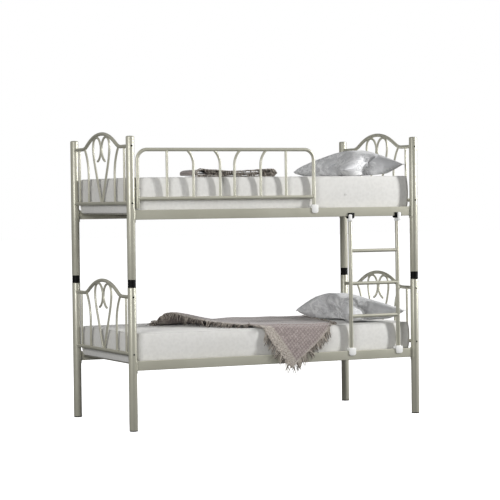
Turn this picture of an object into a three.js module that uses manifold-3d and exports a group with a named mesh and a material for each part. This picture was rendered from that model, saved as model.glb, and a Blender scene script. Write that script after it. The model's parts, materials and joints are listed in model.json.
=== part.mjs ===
// A metal bunk bed with a ladder: two single beds stacked post on post, each with arched end
// panels, side rails and a wire base, plus mattresses, pillows and throws.
// Millimetres, +Z up. +X is the head (pillow) end, -Y is the front, where the ladder hangs.
// The origin is on the floor, midway between the four posts.
import * as THREE from "three";
import { mergeVertices } from "three/addons/utils/BufferGeometryUtils.js";
import Module from "manifold-3d";

const wasm = await Module();
wasm.setup();

// ---- driving dimensions -------------------------------------------------------------------

const GAP = 0.3; // between pieces that touch
const POST_X = 975; // post centres, from the middle of the bed
const POST_Y = 472.5;
const POST_R = 25.5;
const POST_WALL = 2;
const POST_SIDES = 16;
const FOOT_HEIGHT = 6;
const JOINT_LOW = 861.5; // the coupling collar between a lower and an upper post
const JOINT_HIGH = 910;
const POST_TOP = 1764;
const CAP_RISE = 7;
const SPIGOT_LENGTH = 45;
const COLLAR_R = 24.8;
const BED_STEP = 905; // from the lower bed to the upper one

const RAIL_LOW = 363; // the lower bed's side rail
const RAIL_HEIGHT = 58;
const RAIL_THICK = 25;
const RAIL_WALL = 1.5;
const SADDLE_PLATE = 3; // the curved plate on a rail's end, which hugs the post
const SADDLE_HALF_ANGLE = THREE.MathUtils.degToRad(65);
const SADDLE_BELOW = 17;
const SADDLE_ABOVE = 5;
const RAIL_BOLT_R = 4.5;
const RAIL_BOLT_OFFSET = 14;

const PANEL_LOW = 462; // the lower bed's panel: the centre of its bottom tube
const PANEL_TUBE_R = 11;
const PANEL_TUBE_WALL = 1.4;
const PANEL_RISE = 343; // from the bottom tube to the top tube's level ends
const CROWN_RISE = 87.5; // from those ends to the crown
const CROWN_R = 480;
const CROWN_SLOPE = THREE.MathUtils.degToRad(27);
const CROWN_FOOT_R = 150;
const BAR_R = 7;
const STRAIGHT_BAR_Y = 377;
const FLARED_BAR_Y = 220;
const FLARE = 68; // how far the flared bar leans out at the top
const FLARE_R = 250;

const GUARD_LEFT = -930; // leg centres
const GUARD_RIGHT = 258;
const GUARD_TOP = 1689;
const GUARD_BOTTOM = 1394;
const GUARD_LEG_END = 1337;
const GUARD_TUBE_R = 11;
const GUARD_TUBE_WALL = 1.4;
const GUARD_CORNER_R = 62;
const GUARD_BAR_R = 8;
const GUARD_STRAIGHT_BAR = 401; // baluster places, from the guard's middle
const GUARD_CURVED_BARS = [48.5, 226.5];
const GUARD_FLARE = 38;
const GUARD_FLARE_R = 122;
const GUARD_BOLT_Z = 1455;
const GUARD_BOLT_R = 3;

const STILE_X = [513, 852]; // the ladder's uprights
const STILE_R = 12.5;
const STILE_WALL = 1.5;
const RUNG_R = 11;
const RUNG_WALL = 1.4;
const RUNG_Z = [638, 845, 1051];
const STILE_LOW = 431;
const STILE_HIGH = 1244;
const CLIP_WALL = 4;
const CLIP_INSIDE = 17; // how far a clip's inner cheek reaches down

const WIRE_TOP = 400; // the lower bed's wire base
const WIRE_THICK = 6;
const BASE_HALF_LENGTH = 940;
const BASE_HALF_WIDTH = 457;
const BASE_BAND = 20;
const BASE_ROWS = 8; // wire rows in each half
const BASE_COLUMNS = 3;
const LEDGE_WIDTH = 22;
const LEDGE_THICK = 3;
const STIFFENER_WIDTH = 12;
const STIFFENER_DEPTH = 14;

const MATTRESS = { length: 1900, width: 900, corner: 35, edge: 10 };
const MATTRESS_HEIGHT = { lower: 187, upper: 218 };
const PILLOW = { length: 470, width: 700, height: 170, edge: 60 };
const PILLOW_PLACE = { x: 708, y: -95 };
const THROW_THICK = 11;
const THROW_FRONT = [-176, 395]; // where its hems cross the mattress's front edge
const THROW_CORNER = { x: -590, y: 137 }; // the corner at the left hem's far end
const THROW_BACK = [-440, 640]; // where the throw ends, near the back edge
const THROW_BACK_Y = 435;
const THROW_TIP = { x: 159, z: 312 }; // the corner that hangs down the front
const THROW_FLAP_Y = [-495.5, -488];
const THROW_WAVE = { width: 185, height: 72, depth: 170, x: -436, y: 118 };
const THROW_WAVE_ANGLE = THREE.MathUtils.degToRad(-52); // its width runs along the left hem
const FOLDED_THROW = { length: 545, depth: 300, height: 55, x: -195, y: -185 };
const FOLDED_THROW_ANGLE = THREE.MathUtils.degToRad(-3);

// ---- materials ----------------------------------------------------------------------------

function finish(color, roughness, metalness) {
  return new THREE.MeshStandardMaterial({ color, roughness, metalness });
}

const FINISH = {
  enamel: finish(0xc3bfae, 0.3, 0.5),
  blackPlastic: finish(0x151515, 0.45, 0),
  whitePlastic: finish(0xf4f4f2, 0.35, 0),
  zinc: finish(0xa8aaad, 0.35, 0.9),
  wire: finish(0xa9a698, 0.4, 0.5),
  ticking: finish(0xe6e4de, 0.85, 0),
  satin: finish(0xb4b6b9, 0.4, 0),
  wool: finish(0x9a8a82, 0.95, 0),
};

// ---- geometry helpers ---------------------------------------------------------------------

// A closed geometry as a solid that can be joined and cut.
function solid(geometry) {
  const bare = new THREE.BufferGeometry();
  bare.setAttribute("position", geometry.getAttribute("position"));
  if (geometry.index) bare.setIndex(geometry.index);
  const merged = mergeVertices(bare, 1e-3);
  return new wasm.Manifold(
    new wasm.Mesh({
      numProp: 3,
      vertProperties: merged.attributes.position.array,
      triVerts: new Uint32Array(merged.index.array),
    }),
  );
}

function geometryOf(manifold) {
  const mesh = manifold.getMesh();
  const geometry = new THREE.BufferGeometry();
  geometry.setAttribute("position", new THREE.BufferAttribute(mesh.vertProperties, 3));
  geometry.setIndex(new THREE.BufferAttribute(mesh.triVerts, 1));
  return geometry;
}

const joined = (solids) => solids.reduce((sum, piece) => sum.add(piece));
const cutBy = (body, solids) => solids.reduce((rest, piece) => rest.subtract(piece), body);

// A block from its low corner to its high corner.
function block(low, high) {
  const size = high.map((value, axis) => value - low[axis]);
  const centre = high.map((value, axis) => (value + low[axis]) / 2);
  return solid(new THREE.BoxGeometry(...size).translate(...centre));
}

// A round bar or hole along X, Y or Z, from one coordinate to another.
function rod(axis, [a, b], from, to, radius, sides = POST_SIDES) {
  const bar = new THREE.CylinderGeometry(radius, radius, to - from, sides);
  const middle = (from + to) / 2;
  if (axis === "x") bar.rotateZ(Math.PI / 2).translate(middle, a, b);
  if (axis === "y") bar.translate(a, middle, b);
  if (axis === "z") bar.rotateX(Math.PI / 2).translate(a, b, middle);
  return solid(bar);
}

// A solid of revolution about Z from [radius, z] points that start and end on the axis.
function turned(profile, sides = POST_SIDES) {
  const points = profile.map(([radius, z]) => new THREE.Vector2(radius, z));
  return new THREE.LatheGeometry(points, sides).rotateX(Math.PI / 2);
}

// A path whose stations are given, so that straight stretches take one step.
class StationCurve extends THREE.Curve {
  constructor(stations) {
    super();
    this.stations = stations;
  }
  getPoint(t) {
    const place = t * (this.stations.length - 1);
    const first = Math.min(Math.floor(place), this.stations.length - 2);
    return this.stations[first].clone().lerp(this.stations[first + 1], place - first);
  }
  getPointAt(u) {
    return this.getPoint(u);
  }
  getTangentAt(u) {
    const last = this.stations.length - 1;
    const here = Math.round(u * last);
    const before = this.stations[Math.max(here - 1, 0)];
    const after = this.stations[Math.min(here + 1, last)];
    return after.clone().sub(before).normalize();
  }
}

// A tube along a flat path. place turns the path's (across, up) into a 3-D point.
function tube(path, arcSteps, place, radius, sides) {
  const corners = path.getPoints(arcSteps);
  const stations = corners.filter((p, i) => i === 0 || p.distanceTo(corners[i - 1]) > 0.01);
  const section = new THREE.Shape();
  section.absarc(0, 0, radius, 0, 2 * Math.PI);
  const geometry = new THREE.ExtrudeGeometry(section, {
    curveSegments: sides / 2,
    steps: stations.length - 1,
    extrudePath: new StationCurve(stations.map((p) => place(p.x, p.y))),
  });
  return solid(geometry);
}

const acrossBed = (y, z) => new THREE.Vector3(0, y, z);
const alongBed = (x, z) => new THREE.Vector3(x, 0, z);

// A rectangle with rounded corners, [left, right] by [low, high]; radii for low and high corners.
function roundedShape([left, right], [low, high], lowRadius, highRadius = lowRadius) {
  const shape = new THREE.Shape();
  shape.moveTo(left + lowRadius, low);
  shape.lineTo(right - lowRadius, low);
  shape.absarc(right - lowRadius, low + lowRadius, lowRadius, -Math.PI / 2, 0);
  shape.lineTo(right, high - highRadius);
  shape.absarc(right - highRadius, high - highRadius, highRadius, 0, Math.PI / 2);
  shape.lineTo(left + highRadius, high);
  shape.absarc(left + highRadius, high - highRadius, highRadius, Math.PI / 2, Math.PI);
  shape.lineTo(left, low + lowRadius);
  shape.absarc(left + lowRadius, low + lowRadius, lowRadius, Math.PI, 1.5 * Math.PI);
  return shape;
}

// A flat outline in X and Z, made thick along Y from one coordinate to another.
function slabAlongY(shape, from, to, curveSegments = 2) {
  const geometry = new THREE.ExtrudeGeometry(shape, {
    depth: to - from,
    bevelEnabled: false,
    curveSegments,
  });
  return geometry.rotateX(Math.PI / 2).translate(0, to, 0);
}

const part = new THREE.Group();

function add(name, shape, material, [x, y, z] = [0, 0, 0]) {
  const geometry = shape instanceof THREE.BufferGeometry ? shape : geometryOf(shape);
  const mesh = new THREE.Mesh(geometry, material);
  mesh.name = name;
  mesh.position.set(x, y, z);
  part.add(mesh);
}

const CORNERS = [
  { name: "front_left", x: -POST_X, y: -POST_Y },
  { name: "front_right", x: POST_X, y: -POST_Y },
  { name: "back_left", x: -POST_X, y: POST_Y },
  { name: "back_right", x: POST_X, y: POST_Y },
];
const BEDS = [
  { name: "lower", rise: 0 },
  { name: "upper", rise: BED_STEP },
];

// ---- posts, feet, couplings and caps ------------------------------------------------------

const BORE_R = POST_R - POST_WALL;

function postTube(low, high) {
  const wall = [
    [BORE_R, low],
    [POST_R, low],
    [POST_R, high],
    [BORE_R, high],
    [BORE_R, low],
  ];
  return turned(wall);
}

function footGlide() {
  const plug = BORE_R - 2 * GAP;
  return turned([
    [0, 0],
    [POST_R - 2, 0],
    [POST_R, 2],
    [POST_R, FOOT_HEIGHT],
    [plug, FOOT_HEIGHT],
    [plug, FOOT_HEIGHT + 20],
    [0, FOOT_HEIGHT + 20],
  ]);
}

function postCap() {
  const plug = BORE_R - 2 * GAP;
  return turned([
    [0, -18],
    [plug, -18],
    [plug, GAP],
    [POST_R, GAP],
    [POST_R, 2],
    [POST_R - 8, CAP_RISE - 1],
    [0, CAP_RISE],
  ]);
}

function coupling() {
  const spigot = BORE_R - 1.5 * GAP;
  return turned([
    [0, JOINT_LOW - SPIGOT_LENGTH],
    [spigot, JOINT_LOW - SPIGOT_LENGTH],
    [spigot, JOINT_LOW],
    [COLLAR_R, JOINT_LOW],
    [COLLAR_R, JOINT_HIGH],
    [spigot, JOINT_HIGH],
    [spigot, JOINT_HIGH + SPIGOT_LENGTH],
    [0, JOINT_HIGH + SPIGOT_LENGTH],
  ]);
}

function addPosts() {
  const lowerPost = postTube(FOOT_HEIGHT + GAP, JOINT_LOW - GAP);
  const upperPost = postTube(JOINT_HIGH + GAP, POST_TOP);
  for (const { name, x, y } of CORNERS) {
    const bolted = name === "front_left" ? boltedPost(upperPost) : upperPost;
    add("foot_glide_" + name, footGlide(), FINISH.blackPlastic, [x, y, 0]);
    add("lower_post_" + name, lowerPost, FINISH.enamel, [x, y, 0]);
    add("post_coupling_" + name, coupling(), FINISH.blackPlastic, [x, y, 0]);
    add("upper_post_" + name, bolted, FINISH.enamel, [x, y, 0]);
    add("post_cap_" + name, postCap(), FINISH.enamel, [x, y, POST_TOP]);
  }
}

// The post that carries the guard rail has a hole for its bolt.
function boltedPost(geometry) {
  return solid(geometry).subtract(
    rod("x", [0, GUARD_BOLT_Z], 0, POST_R + 5, GUARD_BOLT_R + GAP, 10),
  );
}

// ---- side rails ---------------------------------------------------------------------------

// The curved plate on one end of a rail, about the post's axis, opening away from the rail. It
// comes as a solid sector; the post's own space is cut out of the whole rail later.
function saddle(direction) {
  const outer = POST_R + GAP + SADDLE_PLATE;
  const middle = direction > 0 ? 0 : Math.PI;
  const sector = new THREE.Shape();
  sector.moveTo(0, 0);
  sector.absarc(0, 0, outer, middle - SADDLE_HALF_ANGLE, middle + SADDLE_HALF_ANGLE);
  const low = RAIL_LOW - SADDLE_BELOW;
  const high = RAIL_LOW + RAIL_HEIGHT + SADDLE_ABOVE;
  const plate = new THREE.ExtrudeGeometry(sector, {
    depth: high - low,
    bevelEnabled: false,
    curveSegments: 5,
  });
  plate.translate(0, 0, low);
  const half = outer * Math.sin(SADDLE_HALF_ANGLE) + 0.5;
  const outline = roundedShape([-half, half], [low - 1, high + 1], 22, 5);
  const face = slabAlongY(outline, -outer, outer, 2).rotateZ(Math.PI / 2);
  return solid(plate).intersect(solid(face));
}

// inside is +1 or -1: the side of the rail that faces the mattress.
function sideRail(inside) {
  const half = RAIL_THICK / 2;
  const top = RAIL_LOW + RAIL_HEIGHT;
  const end = POST_X - POST_R + 1;
  const ledgeTop = WIRE_TOP - WIRE_THICK - GAP;
  const ledgeSides = [inside * (half - 1), inside * (half + LEDGE_WIDTH)].sort((a, b) => a - b);
  const body = joined([
    block([-end, -half, RAIL_LOW], [end, half, top]),
    block(
      [-BASE_HALF_LENGTH, ledgeSides[0], ledgeTop - LEDGE_THICK],
      [BASE_HALF_LENGTH, ledgeSides[1], ledgeTop],
    ),
    saddle(1).translate([-POST_X, 0, 0]),
    saddle(-1).translate([POST_X, 0, 0]),
  ]);
  const core = end - SADDLE_PLATE - 3;
  const middle = RAIL_LOW + RAIL_HEIGHT / 2;
  const cuts = [
    block(
      [-core, -half + RAIL_WALL, RAIL_LOW + RAIL_WALL],
      [core, half - RAIL_WALL, top - RAIL_WALL],
    ),
    rod("z", [-POST_X, 0], RAIL_LOW - 40, top + 40, POST_R + GAP),
    rod("z", [POST_X, 0], RAIL_LOW - 40, top + 40, POST_R + GAP),
  ];
  for (const height of [middle - RAIL_BOLT_OFFSET, middle + RAIL_BOLT_OFFSET]) {
    cuts.push(rod("x", [0, height], -POST_X, -core + 1, RAIL_BOLT_R, 6));
    cuts.push(rod("x", [0, height], core - 1, POST_X, RAIL_BOLT_R, 6));
  }
  return cutBy(body, cuts);
}

function addSideRails() {
  const front = geometryOf(sideRail(1));
  const back = geometryOf(sideRail(-1));
  for (const { name, rise } of BEDS) {
    add(name + "_front_rail", front, FINISH.enamel, [0, -POST_Y, rise]);
    add(name + "_back_rail", back, FINISH.enamel, [0, POST_Y, rise]);
  }
}

// ---- end panels ---------------------------------------------------------------------------

const PANEL_REACH = POST_Y - 12; // the tubes run on into the posts' sides and are cut to fit

// The top tube's centre line: level ends, and a long crown between two easy bends.
function crownPath() {
  const slope = CROWN_SLOPE;
  const drop = CROWN_RISE - (CROWN_R + CROWN_FOOT_R) * (1 - Math.cos(slope));
  const run = drop / Math.tan(slope);
  const foot = (CROWN_R + CROWN_FOOT_R) * Math.sin(slope) + run;
  const crownCentre = PANEL_RISE + CROWN_RISE - CROWN_R;
  const footCentre = PANEL_RISE + CROWN_FOOT_R;
  const path = new THREE.Path();
  path.moveTo(-PANEL_REACH, PANEL_RISE);
  path.lineTo(-foot, PANEL_RISE);
  path.absarc(-foot, footCentre, CROWN_FOOT_R, -Math.PI / 2, -Math.PI / 2 + slope);
  path.absarc(0, crownCentre, CROWN_R, Math.PI / 2 + slope, Math.PI / 2 - slope, true);
  path.absarc(foot, footCentre, CROWN_FOOT_R, -Math.PI / 2 - slope, -Math.PI / 2);
  path.lineTo(PANEL_REACH, PANEL_RISE);
  return path;
}

// A bar that rises straight and then leans out to meet the top tube.
function flaredPath(base, lean, radius, low, high) {
  const turn = Math.acos(1 - lean / radius);
  const path = new THREE.Path();
  path.moveTo(base, low);
  path.lineTo(base, high - radius * Math.sin(turn));
  path.absarc(base + radius, high - radius * Math.sin(turn), radius, Math.PI, Math.PI - turn, true);
  return path;
}

// A bar of the central motif: it leans out of the middle of the bottom tube, swells under the
// crown, hooks over beside the top tube and comes down the middle to a free end that turns out.
function hookPath() {
  const path = new THREE.Path();
  path.moveTo(5, 0);
  path.lineTo(103, 222);
  path.splineThru(
    [
      [128, 290],
      [137.5, 345],
      [127, 388],
      [96, 408],
      [62, 408],
      [33, 393],
      [11.5, 364],
      [6, 334],
      [14, 302],
      [35, 276],
      [60, 262],
    ].map(([across, up]) => new THREE.Vector2(across, up)),
  );
  return path;
}

function endPanel() {
  const crown = (radius, sides) => tube(crownPath(), 2, acrossBed, radius, sides);
  const foot = (radius, sides) => rod("y", [0, 0], -PANEL_REACH, PANEL_REACH, radius, sides);
  const flaredBar = flaredPath(FLARED_BAR_Y, FLARE, FLARE_R, 0, PANEL_RISE + 3);
  const bars = [
    rod("z", [0, STRAIGHT_BAR_Y], 0, PANEL_RISE, BAR_R, 6),
    tube(flaredBar, 2, acrossBed, BAR_R, 6),
    tube(hookPath(), 2, acrossBed, BAR_R, 6),
  ];
  const mirrored = bars.map((bar) => bar.mirror([0, 1, 0]));
  const bore = PANEL_TUBE_R - PANEL_TUBE_WALL;
  const posts = [-POST_Y, POST_Y].map((y) => rod("z", [0, y], -60, 500, POST_R + GAP));
  const whole = joined([crown(PANEL_TUBE_R, 8), foot(PANEL_TUBE_R, 8), ...bars, ...mirrored]);
  return cutBy(whole, [crown(bore, 6), foot(bore, 6), ...posts]);
}

function addEndPanels() {
  const panel = geometryOf(endPanel());
  for (const { name, rise } of BEDS) {
    add(name + "_foot_panel", panel, FINISH.enamel, [-POST_X, 0, PANEL_LOW + rise]);
    add(name + "_head_panel", panel, FINISH.enamel, [POST_X, 0, PANEL_LOW + rise]);
  }
}

// ---- wire bases ---------------------------------------------------------------------------

// Half of a bed's base: a flat frame filled with welded wires, on two cross stiffeners.
function wireBase() {
  const low = WIRE_TOP - WIRE_THICK;
  const side = BASE_HALF_WIDTH;
  const pitchX = (BASE_HALF_LENGTH - 2 * BASE_BAND + WIRE_THICK) / BASE_ROWS;
  const pitchY = (2 * (side - BASE_BAND) + WIRE_THICK) / BASE_COLUMNS;
  const gaps = [];
  for (let row = 0; row < BASE_ROWS; row++) {
    for (let column = 0; column < BASE_COLUMNS; column++) {
      const x = BASE_BAND + row * pitchX;
      const y = -side + BASE_BAND + column * pitchY;
      const [farX, farY] = [x + pitchX - WIRE_THICK, y + pitchY - WIRE_THICK];
      gaps.push(block([x, y, low - 1], [farX, farY, WIRE_TOP + 1]));
    }
  }
  const plate = block([GAP, -side, low], [BASE_HALF_LENGTH, side, WIRE_TOP]);
  const reach = side - LEDGE_WIDTH;
  const half = STIFFENER_WIDTH / 2;
  const stiffeners = [3, 6].map((row) => {
    const x = BASE_BAND + row * pitchX - WIRE_THICK / 2;
    return block([x - half, -reach, low - STIFFENER_DEPTH], [x + half, reach, low + 1]);
  });
  return joined([cutBy(plate, gaps), ...stiffeners]);
}

function addWireBases() {
  const headHalf = wireBase();
  const footHalf = headHalf.mirror([1, 0, 0]);
  for (const { name, rise } of BEDS) {
    add(name + "_wire_base_foot_half", footHalf, FINISH.wire, [0, 0, rise]);
    add(name + "_wire_base_head_half", headHalf, FINISH.wire, [0, 0, rise]);
  }
}

// ---- guard rail ---------------------------------------------------------------------------

function guardFramePath(end) {
  const r = GUARD_CORNER_R;
  const path = new THREE.Path();
  path.moveTo(GUARD_LEFT, end);
  path.lineTo(GUARD_LEFT, GUARD_TOP - r);
  path.absarc(GUARD_LEFT + r, GUARD_TOP - r, r, Math.PI, Math.PI / 2, true);
  path.lineTo(GUARD_RIGHT - r, GUARD_TOP);
  path.absarc(GUARD_RIGHT - r, GUARD_TOP - r, r, Math.PI / 2, 0, true);
  path.lineTo(GUARD_RIGHT, end);
  return path;
}

function guardRail() {
  const bore = GUARD_TUBE_R - GUARD_TUBE_WALL;
  const frame = (radius, sides, end) => tube(guardFramePath(end), 2, alongBed, radius, sides);
  const bottom = (radius, sides) =>
    rod("x", [0, GUARD_BOTTOM], GUARD_LEFT, GUARD_RIGHT, radius, sides);
  const middle = (GUARD_LEFT + GUARD_RIGHT) / 2;
  const bars = [-GUARD_STRAIGHT_BAR, GUARD_STRAIGHT_BAR].map((x) =>
    rod("z", [middle + x, 0], GUARD_BOTTOM, GUARD_TOP, GUARD_BAR_R, 6),
  );
  for (const offset of GUARD_CURVED_BARS) {
    const path = flaredPath(offset, GUARD_FLARE, GUARD_FLARE_R, GUARD_BOTTOM, GUARD_TOP - 5);
    const bar = tube(path, 2, alongBed, GUARD_BAR_R, 6);
    bars.push(bar.translate([middle, 0, 0]), bar.mirror([1, 0, 0]).translate([middle, 0, 0]));
  }
  const outer = frame(GUARD_TUBE_R, 10, GUARD_LEG_END).add(bottom(GUARD_TUBE_R, 8));
  return cutBy(joined([outer, ...bars]), [
    frame(bore, 6, GUARD_LEG_END - 1),
    bottom(bore, 6),
    rod("x", [0, GUARD_BOLT_Z], GUARD_LEFT - 20, GUARD_LEFT + 20, GUARD_BOLT_R + GAP, 8),
  ]);
}

// A plastic clip over the top edge of a rail, with a socket for the tube that stands in it. Its
// inner cheek is the shorter one and stops above the wire base.
function railTopClip(railTop, halfWidth, below, above, tubeRadius, lug) {
  const thick = RAIL_THICK / 2 + GAP + CLIP_WALL;
  const outline = roundedShape(
    [-halfWidth, halfWidth],
    [railTop - below, railTop + above],
    halfWidth * 0.62,
    4,
  );
  const bodies = [solid(slabAlongY(outline, -thick, thick))];
  if (lug) {
    const reach = halfWidth + 12;
    bodies.push(block([-reach, -thick, railTop + GAP], [0, thick, railTop + above - 3]));
  }
  const slot = RAIL_THICK / 2 + GAP;
  const cuts = [
    block([-80, -slot, railTop - below - 5], [80, slot, railTop + GAP]),
    block([-80, 0, railTop - below - 5], [80, thick + 1, railTop - CLIP_INSIDE]),
    rod("z", [0, 0], railTop + 5, railTop + above + 10, tubeRadius + GAP),
  ];
  return cutBy(joined(bodies), cuts);
}

// The sleeve between the post and the guard rail's leg.
function guardSpacer() {
  const post = rod("z", [-POST_X, 0], GUARD_BOLT_Z - 20, GUARD_BOLT_Z + 20, POST_R + GAP);
  const leg = rod("z", [GUARD_LEFT, 0], GUARD_BOLT_Z - 20, GUARD_BOLT_Z + 20, GUARD_TUBE_R + GAP);
  const hole = rod("x", [0, GUARD_BOLT_Z], -POST_X, GUARD_LEFT, GUARD_BOLT_R + GAP, 10);
  return cutBy(rod("x", [0, GUARD_BOLT_Z], -POST_X, GUARD_LEFT, 7, 16), [post, leg, hole]);
}

// The bolt through the leg and the post's wall, with its domed nut on the mattress side.
function guardBolt() {
  const start = -POST_X + POST_R - 12;
  const face = GUARD_LEFT + GUARD_TUBE_R + GAP;
  const shank = rod("x", [0, GUARD_BOLT_Z], start, face + 3, GUARD_BOLT_R, 10);
  const nut = rod("x", [0, GUARD_BOLT_Z], face, face + 5, 6.5, 6);
  const dome = rod("x", [0, GUARD_BOLT_Z], face + 4, face + 9, 4.5, 12);
  return joined([shank, nut, dome]);
}

function addGuardRail() {
  const railTop = RAIL_LOW + RAIL_HEIGHT + BED_STEP;
  const clip = railTopClip(railTop, 23, 33, 18, GUARD_TUBE_R, false);
  add("guard_rail", guardRail(), FINISH.enamel, [0, -POST_Y, 0]);
  add("guard_rail_clip", clip, FINISH.whitePlastic, [GUARD_RIGHT, -POST_Y, 0]);
  add("guard_rail_spacer", guardSpacer(), FINISH.enamel, [0, -POST_Y, 0]);
  add("guard_rail_bolt", guardBolt(), FINISH.zinc, [0, -POST_Y, 0]);
}

// ---- ladder -------------------------------------------------------------------------------

function stile() {
  return rod("z", [0, 0], STILE_LOW, STILE_HIGH, STILE_R, 16).subtract(
    rod("z", [0, 0], STILE_LOW - 1, STILE_HIGH + 1, STILE_R - STILE_WALL, 12),
  );
}

function rung(height) {
  const [left, right] = STILE_X;
  const ends = STILE_X.map((x) => rod("z", [x, 0], height - 30, height + 30, STILE_R + GAP, 16));
  const bore = rod("x", [0, height], left, right, RUNG_R - RUNG_WALL, 8);
  return cutBy(rod("x", [0, height], left, right, RUNG_R, 12), [...ends, bore]);
}

// The black hook on the top of a stile: a channel that takes the upper rail's bottom edge.
function ladderHook() {
  const railLow = RAIL_LOW + BED_STEP;
  const thick = RAIL_THICK / 2 + GAP + CLIP_WALL;
  const slot = RAIL_THICK / 2 + GAP;
  const outline = roundedShape([-23, 23], [railLow - 13, railLow + 23], 12, 2);
  return cutBy(solid(slabAlongY(outline, -thick, thick)), [
    block([-40, -slot, railLow - GAP], [40, slot, railLow + 40]),
  ]);
}

// The white collar on the top of a stile, with the snap tab that stands in front of the hook.
function ladderCollar(tabX, tabHigh) {
  const railLow = RAIL_LOW + BED_STEP;
  const hookFace = RAIL_THICK / 2 + GAP + CLIP_WALL;
  const high = railLow - 13 - GAP;
  const low = STILE_HIGH - 8;
  const tabOutline = roundedShape([tabX - 12, tabX + 12], [low + 6, tabHigh], 4, 8);
  const body = joined([
    rod("z", [0, 0], low, high, STILE_R + 3, 16),
    solid(slabAlongY(tabOutline, -hookFace - GAP - 5, -hookFace - GAP)),
    block([tabX - 8, -hookFace - GAP - 2, low + 6], [tabX + 8, 0, high - 3]),
  ]);
  return cutBy(body, [rod("z", [0, 0], low - 1, STILE_HIGH + GAP, STILE_R + GAP, 16)]);
}

function addLadder() {
  const railTop = RAIL_LOW + RAIL_HEIGHT;
  const sides = [
    { name: "left", tabX: -9, tabHigh: 1281, lug: false },
    { name: "right", tabX: 6, tabHigh: 1292, lug: true },
  ];
  sides.forEach(({ name, tabX, tabHigh, lug }, side) => {
    const place = [STILE_X[side], -POST_Y, 0];
    const clip = railTopClip(railTop, 25, 30, 17, STILE_R, lug);
    add("ladder_stile_" + name, stile(), FINISH.enamel, place);
    add("ladder_foot_clip_" + name, clip, FINISH.whitePlastic, place);
    add("ladder_hook_" + name, ladderHook(), FINISH.blackPlastic, place);
    add("ladder_collar_" + name, ladderCollar(tabX, tabHigh), FINISH.whitePlastic, place);
  });
  RUNG_Z.forEach((height, number) => {
    add("ladder_rung_" + (number + 1), rung(height), FINISH.enamel, [0, -POST_Y, 0]);
  });
}

// ---- mattresses, pillows and throws -------------------------------------------------------

// A slab with rounded corners and softened edges, sitting on z = 0 and centred on X and Y.
function cushionSlab(length, width, height, corner, edge, edgeHeight, steps) {
  const outline = roundedShape(
    [-length / 2 + edge, length / 2 - edge],
    [-width / 2 + edge, width / 2 - edge],
    corner,
  );
  const slab = new THREE.ExtrudeGeometry(outline, {
    depth: height - 2 * edgeHeight,
    bevelEnabled: true,
    bevelSize: edge,
    bevelThickness: edgeHeight,
    bevelSegments: steps,
    curveSegments: 3,
  });
  return slab.translate(0, 0, edgeHeight);
}

function mattress(height) {
  const { length, width, corner, edge } = MATTRESS;
  return cushionSlab(length, width, height, corner - edge, edge, edge, 1);
}

function pillow() {
  const { length, width, height, edge } = PILLOW;
  return cushionSlab(length, width, height, 30, edge, height / 2 - 1, 2);
}

// The throw over a mattress whose top is at the given height: it fans out to the back, and its
// near corner hangs down the front, outside the rail.
function drapedThrow(mattressTop) {
  const low = mattressTop + GAP;
  const high = low + THROW_THICK;
  const [flapOut, flapIn] = THROW_FLAP_Y;
  const fan = new THREE.Shape([
    new THREE.Vector2(THROW_FRONT[0], flapOut),
    new THREE.Vector2(THROW_FRONT[1], flapOut),
    new THREE.Vector2(THROW_BACK[1], THROW_BACK_Y),
    new THREE.Vector2(THROW_BACK[0], THROW_BACK_Y),
    new THREE.Vector2(THROW_CORNER.x, THROW_CORNER.y),
  ]);
  const sheet = new THREE.ExtrudeGeometry(fan, { depth: THROW_THICK, bevelEnabled: false });
  const flap = new THREE.Shape([
    new THREE.Vector2(THROW_FRONT[0], high),
    new THREE.Vector2(THROW_FRONT[1], high),
    new THREE.Vector2(THROW_TIP.x, THROW_TIP.z),
  ]);
  return joined([
    solid(sheet.translate(0, 0, low)),
    solid(slabAlongY(flap, flapOut, flapIn)),
    throwWave(low),
  ]);
}

// The arch that the throw's left hem makes near its far corner.
function throwWave(low) {
  const { width, height, depth, x, y } = THROW_WAVE;
  const arch = new THREE.Shape();
  arch.moveTo(-width / 2, 0);
  arch.quadraticCurveTo(0, 2 * height, width / 2, 0);
  arch.closePath();
  const wave = slabAlongY(arch, -depth / 2, depth / 2);
  return solid(wave.rotateZ(THROW_WAVE_ANGLE).translate(x, y, low + 1));
}

// The folded throw on the upper mattress.
function foldedThrow() {
  const { length, depth, height } = FOLDED_THROW;
  const outline = roundedShape([-length / 2, length / 2], [0, height], height * 0.45);
  const slab = slabAlongY(outline, -depth / 2, depth / 2, 3);
  return slab.rotateZ(FOLDED_THROW_ANGLE);
}

function addBedding() {
  const low = WIRE_TOP + GAP;
  const lowerTop = low + MATTRESS_HEIGHT.lower;
  const upperTop = low + BED_STEP + MATTRESS_HEIGHT.upper;
  const { x, y } = PILLOW_PLACE;
  add("lower_mattress", mattress(MATTRESS_HEIGHT.lower), FINISH.ticking, [0, 0, low]);
  add("upper_mattress", mattress(MATTRESS_HEIGHT.upper), FINISH.ticking, [0, 0, low + BED_STEP]);
  add("lower_throw", drapedThrow(lowerTop), FINISH.wool);
  add("lower_pillow", pillow(), FINISH.satin, [x, y, lowerTop + THROW_THICK + 2 * GAP]);
  add("upper_pillow", pillow(), FINISH.satin, [x, y, upperTop + GAP]);
  const { x: throwX, y: throwY } = FOLDED_THROW;
  add("upper_throw", foldedThrow(), FINISH.wool, [throwX, throwY, upperTop + GAP]);
}

addPosts();
addSideRails();
addEndPanels();
addWireBases();
addGuardRail();
addLadder();
addBedding();

export default part;
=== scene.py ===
"""A metal bunk bed with a ladder: the visual model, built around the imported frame.

Metres, +Z up. +X is the head end, -Y the front. Every rigid piece, mattress and pillow takes its
place from the frame's boxes.
"""

import json
import math
import random

import bmesh
import bpy
from mathutils import Matrix, Vector, noise

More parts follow.
